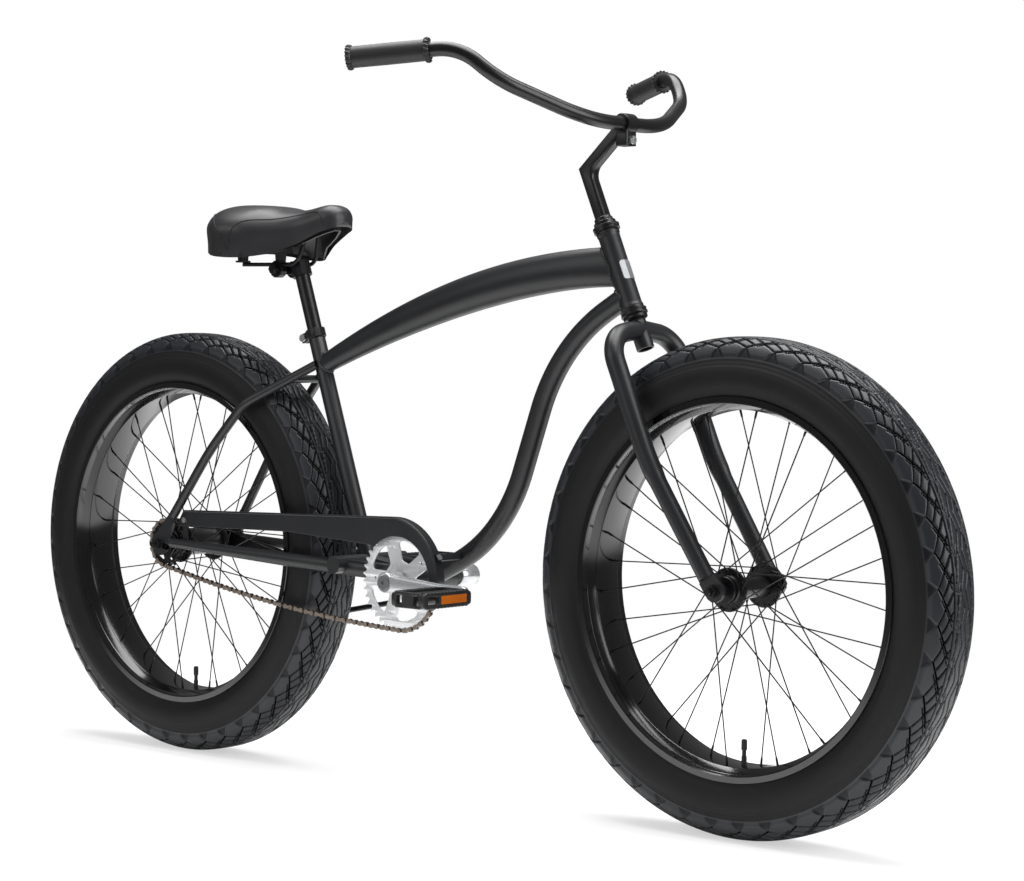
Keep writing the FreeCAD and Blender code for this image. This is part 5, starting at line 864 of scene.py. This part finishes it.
RAIL_TEETH = 12
PEDAL_INNER = 119
rail_run = np.linspace(0, 1, 97)
rail_top = np.stack([7 + 96 * rail_run, 11.4 + 1.6 * np.abs(np.sin(rail_run * np.pi * RAIL_TEETH)) ** 0.6], 1)
rail_outline = np.vstack([[(1.5, 9.5)], rail_top, [(108.5, 9.5), (110, 6), (110, -6), (108.5, -9.5)],
                          rail_top[::-1] * np.array([1, -1]), [(1.5, -9.5), (0, -6), (0, 6)]])
rail_outlines = [rail_outline, opening(10.8, 69.2, 6.7, 0.3), opening(73.5, 99, 6.5)]
end_outline = opening(-28, 28, 12.4, 3.0)
end_holes = [opening(-23, -12.5, 8.5), opening(12.5, 23, 8.5)]
barrel_profile = [(119, 6.4), (119, 10.4), (119.6, 11), (228.4, 11), (229, 10.4), (229, 0.3), (226, 0.3),
                  (226, 6.4)]
for side_name, side, way in CRANKS:
    point = BRACKET + way * CRANK_LENGTH * MM
    name = "pedal_" + side_name
    outward = ACROSS * side
    for rail_name, off, stands_for in (("_rail_front", 29.5, [name]), ("_rail_back", -29.5, [])):
        centre = point + outward * PEDAL_INNER * MM + FORWARD * off * MM
        flat_plate(name + rail_name, rail_outlines, 9.0, 0.9, centre, resin, name, stands_for,
                   2, 40.0, outward, FORWARD)
    for end_name, off, holes in (("_end_inner", 123.5, []), ("_end_outer", 224.5, end_holes)):
        flat_plate(name + end_name, [end_outline] + holes, 8.6, 1.2, point + outward * off * MM, resin, name,
                   rounds=2, sharp=40.0)
    surface(name + "_barrel", [lathe(barrel_profile, point, outward, 28)], resin, name,
            wrap_u=True)

# Chain guard: pressed steel plate with a turned-in flange and a rolled bead along its edge.
# It is powder coated like the frame, and screwed to the frame's tabs.
GUARD_RADIUS, GUARD_LINE = 102.9, -79.6
paint(powder_coat, "chain_guard")
soften(0.9, "chain_guard")
guard_round = BRACKET + mm(-12, GUARD_LINE, 0)
bend = np.linspace(math.pi / 2, 0, 30)[:, None]
guard_edge = guard_round + GUARD_RADIUS * MM * (FORWARD * np.cos(bend) + UPWARD * np.sin(bend))
guard_back = REAR_AXLE + mm(56, GUARD_LINE, 59.9)
surface("chain_guard_bead", [rod(np.vstack([guard_back, guard_edge]), 1.9, 12)],
        powder_coat, "frame")
# Zinc plate: a thin pale metal skin, bright and a little cloudy.
zinc = finish("zinc_plated_steel", "#b9babc", "#c9cacb", 2.0, 0.3, 0.05, 0.004, metallic=0.9)
paint(zinc, "frame_screws")

# Head badge: a small plain plate, stamped from aluminium sheet.
# It is fixed to the front of the head tube.
# Stamped aluminium: bare pale grey metal with a fine rolled grain.
badge_alloy = finish("stamped_aluminium", "#a2a4a7", "#b4b6b8", 1.5, 0.38, 0.06, 0.02, metallic=0.9)
paint(badge_alloy, "head_badge")

# Stem and handlebar: a flat-sided forged quill stem, held in the steerer by a wedge, and a swept-back bar bent
# from steel tube, which the stem's band grips. Both have the satin black enamel of the cups.
paint(zinc, "stem_bolts")
ELBOW = on_steerer(701)
BAR = ELBOW + mm(75.5, 0, 68.5)
arm_way = unit(BAR - ELBOW)
arm_side = np.array([-arm_way[2], 0, arm_way[0]])


def crossing(first, way, other, other_way):
    """Where two lines of the bicycle's plane meet: first + way * t, t being the cross product of the gap and the
    other way over that of both ways."""
    gap = other - first
    slant = way[0] * other_way[2] - way[2] * other_way[0]
    return first + way * (gap[0] * other_way[2] - gap[2] * other_way[0]) / slant


quill_half, arm_half = 10.6 * MM, 10.4 * MM
heel = crossing(ELBOW - STEER_AHEAD * quill_half, STEER_UP, ELBOW + arm_side * arm_half, arm_way)
throat = crossing(ELBOW + STEER_AHEAD * quill_half, STEER_UP, ELBOW - arm_side * arm_half, arm_way)
stem_foot = on_steerer(600)
front_edge = rounded([BAR - arm_side * arm_half, throat, stem_foot + STEER_AHEAD * quill_half], (20 * MM,), 12)
stem_outline = np.vstack([stem_foot - STEER_AHEAD * quill_half, heel, BAR + arm_side * arm_half, front_edge])
flat_plate("stem_forged", [stem_outline[:, [0, 2]] / MM], 21.2, 5.5, np.zeros(3), black_enamel,
           "stem", ["stem"], 3, 50.0)
band_profile = [(-12.5, 11.2), (-12.5, 15.2), (-11.5, 16.2), (11.5, 16.2), (12.5, 15.2), (12.5, 11.2)]
surface("stem_band", [lathe(band_profile, BAR, ACROSS, 48)], black_enamel, "stem", wrap_u=True)
ear_outline = BAR[[0, 2]] / MM + np.array([(-11, -34), (11, -34), (11, -8), (-11, -8)])
flat_plate("stem_ears", [ear_outline], 25.0, 2.5, np.zeros(3), black_enamel, "stem",
           rounds=2, sharp=50.0)
quill_profile = [(542, 4.2), (542, 11.1), (602, 11.1), (602, 4.2)]
surface("stem_quill", [lathe(quill_profile, STEER_FOOT, STEER_UP, 32)],
        black_enamel, "stem", wrap_u=True)
bar_corner = BAR + ACROSS * 90 * MM
bar_rise = bar_corner + mm(-64, 136, 53)
bar_turn = bar_rise + mm(-46, 35, 48)
bar_end = bar_turn + mm(-144, 86, -14)
half_bar = rounded([BAR, bar_corner, bar_rise, bar_turn, bar_end], (200 * MM, 130 * MM, 85 * MM), 26)
whole_bar = np.concatenate([(half_bar * OTHER_SIDE)[:0:-1], half_bar])
surface("handlebar_bent", [rod(whole_bar, 11.1, 28, np.array([0.6, 0.0, 0.8]))],
        black_enamel, "bar", ["handlebar"])

# Grips: leather sleeves sewn round the ends of the bar, with a thick laced ring at both ends.
# Leather: matt black, with a fine creased grain.
STITCHES = 18
grip_profile = [(-126, 11.2), (-126, 16.6), (-125, 18.0), (-121, 18.2), (-119.4, 17.2), (-118.6, 16.0),
                (-116, 16.3), (-60, 16.5), (-10, 16.3), (-7.6, 16.0), (-6.8, 17.2), (-5, 18.2), (-1.5, 18.0),
                (0, 16.6), (0.4, 8), (0.4, 0.2)]
leather = finish("sewn_black_leather", "#171718", "#202021", 1.1, 0.5, 0.07, 0.12)
bar_way = unit(bar_end - bar_turn)
grip_parts = []
for flip in (np.ones(3), OTHER_SIDE):
    way = bar_way * flip
    tip = (bar_end + bar_way * 3 * MM) * flip
    grip_parts.append(lathe(grip_profile, tip, way, 40))
    first = unit(np.cross(way, UPWARD))
    second = np.cross(way, first)
    for ring in (-123.2, -3.6):
        for stitch in range(STITCHES):
            turn = 2 * math.pi * stitch / STITCHES
            spoke = first * math.cos(turn) + second * math.sin(turn)
            across = np.cross(way, spoke)
            centre = tip + way * ring * MM + spoke * 18.0 * MM
            steps = np.linspace(-1, 1, 5)[:, None]
            path = centre + way * steps * 3.4 * MM + across * steps * 1.2 * MM - spoke * (steps ** 2) * 1.2 * MM
            grip_parts.append(rod(path, 1.5, 6, spoke))
surface("grips_laced", grip_parts, leather, "bar", ["grips"])

# Saddle: foam-padded vinyl cover on a moulded pan, broad at the back with a short nose.
# The pan sits on bent steel rails with rubber bumpers behind, and the rails are clamped to the post.
# Grained vinyl: soft embossed plastic, grey-black with a low sheen.
SADDLE_LENGTH, SADDLE_HALF, SADDLE_HEIGHT = 256, 122, 98
paint(resin, "saddle_base")
paint(butyl, "saddle_springs")
paint(black_steel, "saddle_clamp", "saddle_rails")
vinyl = finish("grained_black_vinyl", "#1a1a1c", "#232326", 0.8, 0.4, 0.05, 0.05)
cross_bolt = SEAT_TOP + SEAT_UP * 109 * MM - FORWARD * 35 * MM
nose_x = cross_bolt[0] / MM + 141
skirt_z = cross_bolt[2] / MM + 18
# Along the saddle: share of its length, half width, lower edge and top, as shares of their largest sizes.
stations = [(-0.028, 0.16, 0.52, 0.60), (-0.022, 0.42, 0.36, 0.735), (0.0, 0.60, 0.26, 0.83),
            (0.035, 0.74, 0.17, 0.885), (0.09, 0.89, 0.09, 0.93), (0.21, 1.0, 0.02, 0.955),
            (0.40, 0.91, 0.0, 0.925), (0.56, 0.64, 0.07, 0.84), (0.72, 0.42, 0.23, 0.845),
            (0.88, 0.32, 0.42, 0.915), (0.95, 0.26, 0.48, 0.89), (0.99, 0.17, 0.53, 0.82),
            (1.006, 0.06, 0.60, 0.72)]
rows = smooth_line(stations, 110)
wide = rows[:, 1:2] * SADDLE_HALF
low = rows[:, 2:3] * SADDLE_HEIGHT
high = rows[:, 3:4] * SADDLE_HEIGHT
# Across, the cover is a swollen half oval tucked in at its edge; underneath it is hollow for the foam and pan.
bow = np.linspace(-1, 1, 49)[None]
crown = squarer(np.sin(bow * np.pi / 2), 0.72)
lift = np.cos(bow * np.pi / 2) ** 0.66
tuck = 1 - 0.09 * eased((np.abs(bow) - 0.7) / 0.3)
top_y = wide * crown * tuck
top_z = low + (high - low) * lift
hollow = np.clip(high - low - 26, 0, 46) * eased(rows[:, :1] / 0.12) * eased((1.0 - rows[:, :1]) / 0.1)
under = np.linspace(0.93, -0.93, 25)[None]
under_y = wide * 0.91 * under
under_z = low + 1.5 + hollow * (1 - np.abs(under) ** 4)
grid_y = np.concatenate([top_y, under_y], 1)
grid_z = np.concatenate([top_z, under_z], 1) + skirt_z
grid_x = np.broadcast_to(nose_x - SADDLE_LENGTH * (1 - rows[:, :1]), grid_y.shape)
saddle_grid = np.stack([grid_x, grid_y, grid_z], -1) * MM


def on_saddle(spots):
    """Points of the cover at (share of length, share across) pairs, on a smooth line through them, each blended
    from the four nearest points of its grid."""
    spots = smooth_line(spots, 60)
    row = np.interp(spots[:, 0], rows[:, 0], np.arange(len(rows)))
    column = (spots[:, 1] + 1) / 2 * (bow.shape[1] - 1)
    r = np.minimum(row.astype(int), len(rows) - 2)
    c = np.minimum(column.astype(int), bow.shape[1] - 2)
    u, v = (row - r)[:, None], (column - c)[:, None]
    return (saddle_grid[r, c] * (1 - u) * (1 - v) + saddle_grid[r + 1, c] * u * (1 - v)
            + saddle_grid[r, c + 1] * (1 - u) * v + saddle_grid[r + 1, c + 1] * u * v)


saddle = surface("saddle_cover_padded", [saddle_grid], vinyl, "saddle", ["saddle_cover"],
                 sharp=70.0)
# Panel seams of the cover: a turned edge sewn down with thread, from the back round to a point low on each side,
# then forward and down beside the nose.
# Waxed thread: matt, and darker than the vinyl.
thread = finish("waxed_black_thread", "#0a0a0b", "#101011", 1.2, 0.75, 0.05, 0.05)
back_seam = [(-0.024, 0.0), (-0.01, 0.25), (0.03, 0.40), (0.09, 0.50), (0.17, 0.62), (0.25, 0.80), (0.31, 0.965)]
front_seam = [(0.325, 0.965), (0.35, 0.80), (0.39, 0.66), (0.46, 0.58), (0.58, 0.52), (0.70, 0.47), (0.80, 0.48),
              (0.87, 0.56), (0.905, 0.74), (0.92, 0.95)]
seams = []
for side in (-1, 1):
    for spots in (back_seam, front_seam):
        path = on_saddle([(along, out * side) for along, out in spots])
        seams.append(rod(path, 1.0, 6, np.array([0.3, 0.5, 0.8])))
surface("saddle_seams", seams, thread, "saddle")

# Seat post: drawn steel tube, enamelled black, that slides in the seat tube.
# A collar round the top of the seat tube grips it, drawn together by one bolt.
paint(black_enamel, "seat_clamp")
soften(0.8, "seat_clamp")
post_profile = [(0, 10.7), (0, 12.2), (0.5, 12.7), (121.5, 12.7), (122, 12.2), (122, 10.7)]
hidden_profile = [(-110, 10.7), (-110, 12.7), (0, 12.7), (0, 10.7)]
surface("seat_post_drawn", [lathe(post_profile, SEAT_TOP, SEAT_UP, 48),
                            lathe(hidden_profile, SEAT_TOP, SEAT_UP, 24)],
        black_enamel, "seat_post", ["seat_post"], wrap_u=True)

# Kickstand: bent steel rod with an eye on its pivot pin and a sleeve over its foot, powder coated.
# It is shown folded back along the left chain stay.
FOOT_RADII = np.array([6.2, 7, 7, 5.5])
stand_pivot = BRACKET + mm(-70, 0, -40)
stand_start = stand_pivot + ACROSS * 61.8 * MM
stand_knee = stand_start + mm(-120, 11, -24)
stand_foot = stand_knee + mm(-172, 12, -34)
leg_path = rounded([stand_start, stand_knee, stand_foot], (160 * MM,), 12)
foot_way = unit(stand_foot - stand_knee)
foot_path = stand_foot + foot_way * np.array([-34, -33, -2, 0])[:, None] * MM
eye_profile = [(57.2, 5.2), (57.2, 9.4), (57.8, 10), (70.4, 10), (71, 9.4), (71, 5.2)]
stand = [rod(leg_path, 4.8, 20, UPWARD), rod(foot_path, FOOT_RADII, 20, UPWARD),
         lathe(eye_profile, stand_pivot, ACROSS, 32)]
surface("kickstand_leg_bent", stand, powder_coat, "kickstand", ["kickstand_leg"])

# Studio: a pale paper floor that fades into the white behind, and broad soft lights above, in front and beside.
# The camera stands where the photograph was taken from.
FLOOR_HALF = 6
floor_corners = [(-FLOOR_HALF, -FLOOR_HALF, 0), (FLOOR_HALF, -FLOOR_HALF, 0), (FLOOR_HALF, FLOOR_HALF, 0),
                 (-FLOOR_HALF, FLOOR_HALF, 0)]
floor_mesh = bpy.data.meshes.new("studio_floor")
floor_mesh.from_pydata(floor_corners, [], [(0, 1, 2, 3)])
floor = placed("studio_floor", floor_mesh)
# White paper: matt, and washed out towards its edges, where it clears.
floor_paper = bpy.data.materials.new("white_paper_floor")
tree = emptied_tree(floor_paper)
path_info = node(tree, "ShaderNodeLightPath")
spot = node(tree, "ShaderNodeTexCoord")
away = node(tree, "ShaderNodeVectorMath", {"operation": "LENGTH"}, links={0: spot.outputs["Object"]})
fade = node(tree, "ShaderNodeMapRange", {"interpolation_type": "SMOOTHSTEP"},
            {"From Min": 1.2, "From Max": 2.3, "To Min": 1.0, "To Max": 0.0}, {"Value": away.outputs["Value"]})
paper = node(tree, "ShaderNodeBsdfDiffuse", sockets={"Color": linear("#fbfbfb")})
glow = node(tree, "ShaderNodeEmission", sockets={"Color": (1, 1, 1, 1), "Strength": 1.0})
part = node(tree, "ShaderNodeMath", {"operation": "MULTIPLY"}, {1: 0.55},
            {0: path_info.outputs["Is Camera Ray"]})
mixed = node(tree, "ShaderNodeMixShader", links={0: part.outputs[0], 1: paper.outputs[0], 2: glow.outputs[0]})
clear = node(tree, "ShaderNodeBsdfTransparent")
faded = node(tree, "ShaderNodeMixShader",
             links={0: fade.outputs["Result"], 1: clear.outputs[0], 2: mixed.outputs[0]})
node(tree, "ShaderNodeOutputMaterial", links={"Surface": faded.outputs[0]})
floor_mesh.materials.append(floor_paper)

# White to the camera, but dimmer in reflections, so that dark pieces stay dark.
world = bpy.data.worlds.new("white_studio")
bpy.context.scene.world = world
tree = emptied_tree(world)
path_info = node(tree, "ShaderNodeLightPath")
seen = node(tree, "ShaderNodeMath", {"operation": "MAXIMUM"},
            links={0: path_info.outputs["Is Camera Ray"], 1: path_info.outputs["Is Transmission Ray"]})
backdrop = node(tree, "ShaderNodeBackground", sockets={"Color": (1, 1, 1, 1), "Strength": 1.0})
fill = node(tree, "ShaderNodeBackground", sockets={"Color": (1, 1, 1, 1), "Strength": 0.5})
dim = node(tree, "ShaderNodeBackground", sockets={"Color": (1, 1, 1, 1), "Strength": 0.14})
soft = node(tree, "ShaderNodeMixShader", links={0: path_info.outputs["Is Glossy Ray"], 1: fill.outputs[0],
                                                2: dim.outputs[0]})
mixed = node(tree, "ShaderNodeMixShader", links={0: seen.outputs[0], 1: soft.outputs[0], 2: backdrop.outputs[0]})
node(tree, "ShaderNodeOutputWorld", links={"Surface": mixed.outputs[0]})


def soft_box(name, spot, target, size, power):
    """Rectangular light of this size, aimed at a point."""
    lamp = bpy.data.lights.new(name, "AREA")
    lamp.shape = "RECTANGLE"
    lamp.size, lamp.size_y = size
    lamp.energy = power
    holder = placed(name, lamp)
    holder.location = spot
    aim = Vector(target) - Vector(spot)
    holder.rotation_euler = aim.to_track_quat("-Z", "Y").to_euler()


soft_box("top_light", (0.0, 0.3, 3.4), (0, 0, 0.5), (3.6, 2.6), 190)
soft_box("front_light", (4.4, 0.6, 2.0), (0.2, 0, 0.5), (3.2, 3.4), 150)
soft_box("side_light", (-1.8, -4.4, 2.8), (-0.2, 0, 0.5), (4.0, 3.0), 55)

PHOTO_WIDTH, FOCAL_PIXELS = 1024, 2551
SENSOR_WIDTH = 36.0
camera_data = bpy.data.cameras.new("photo_camera")
camera = placed("photo_camera", camera_data)
camera_data.sensor_fit = "HORIZONTAL"
camera_data.sensor_width = SENSOR_WIDTH
camera_data.lens = SENSOR_WIDTH * FOCAL_PIXELS / PHOTO_WIDTH
camera_data.clip_end = 100
camera.location = (2.81462, -3.08088, 0.73171)
aim = Vector((0.142, 0.0, 0.577)) - camera.location
turned = aim.to_track_quat("-Z", "Y").to_matrix().to_4x4()
camera.rotation_euler = (turned @ Matrix.Rotation(math.radians(0.53), 4, "Z")).to_euler()
bpy.context.scene.camera = camera
bpy.context.scene.view_settings.view_transform = "Standard"
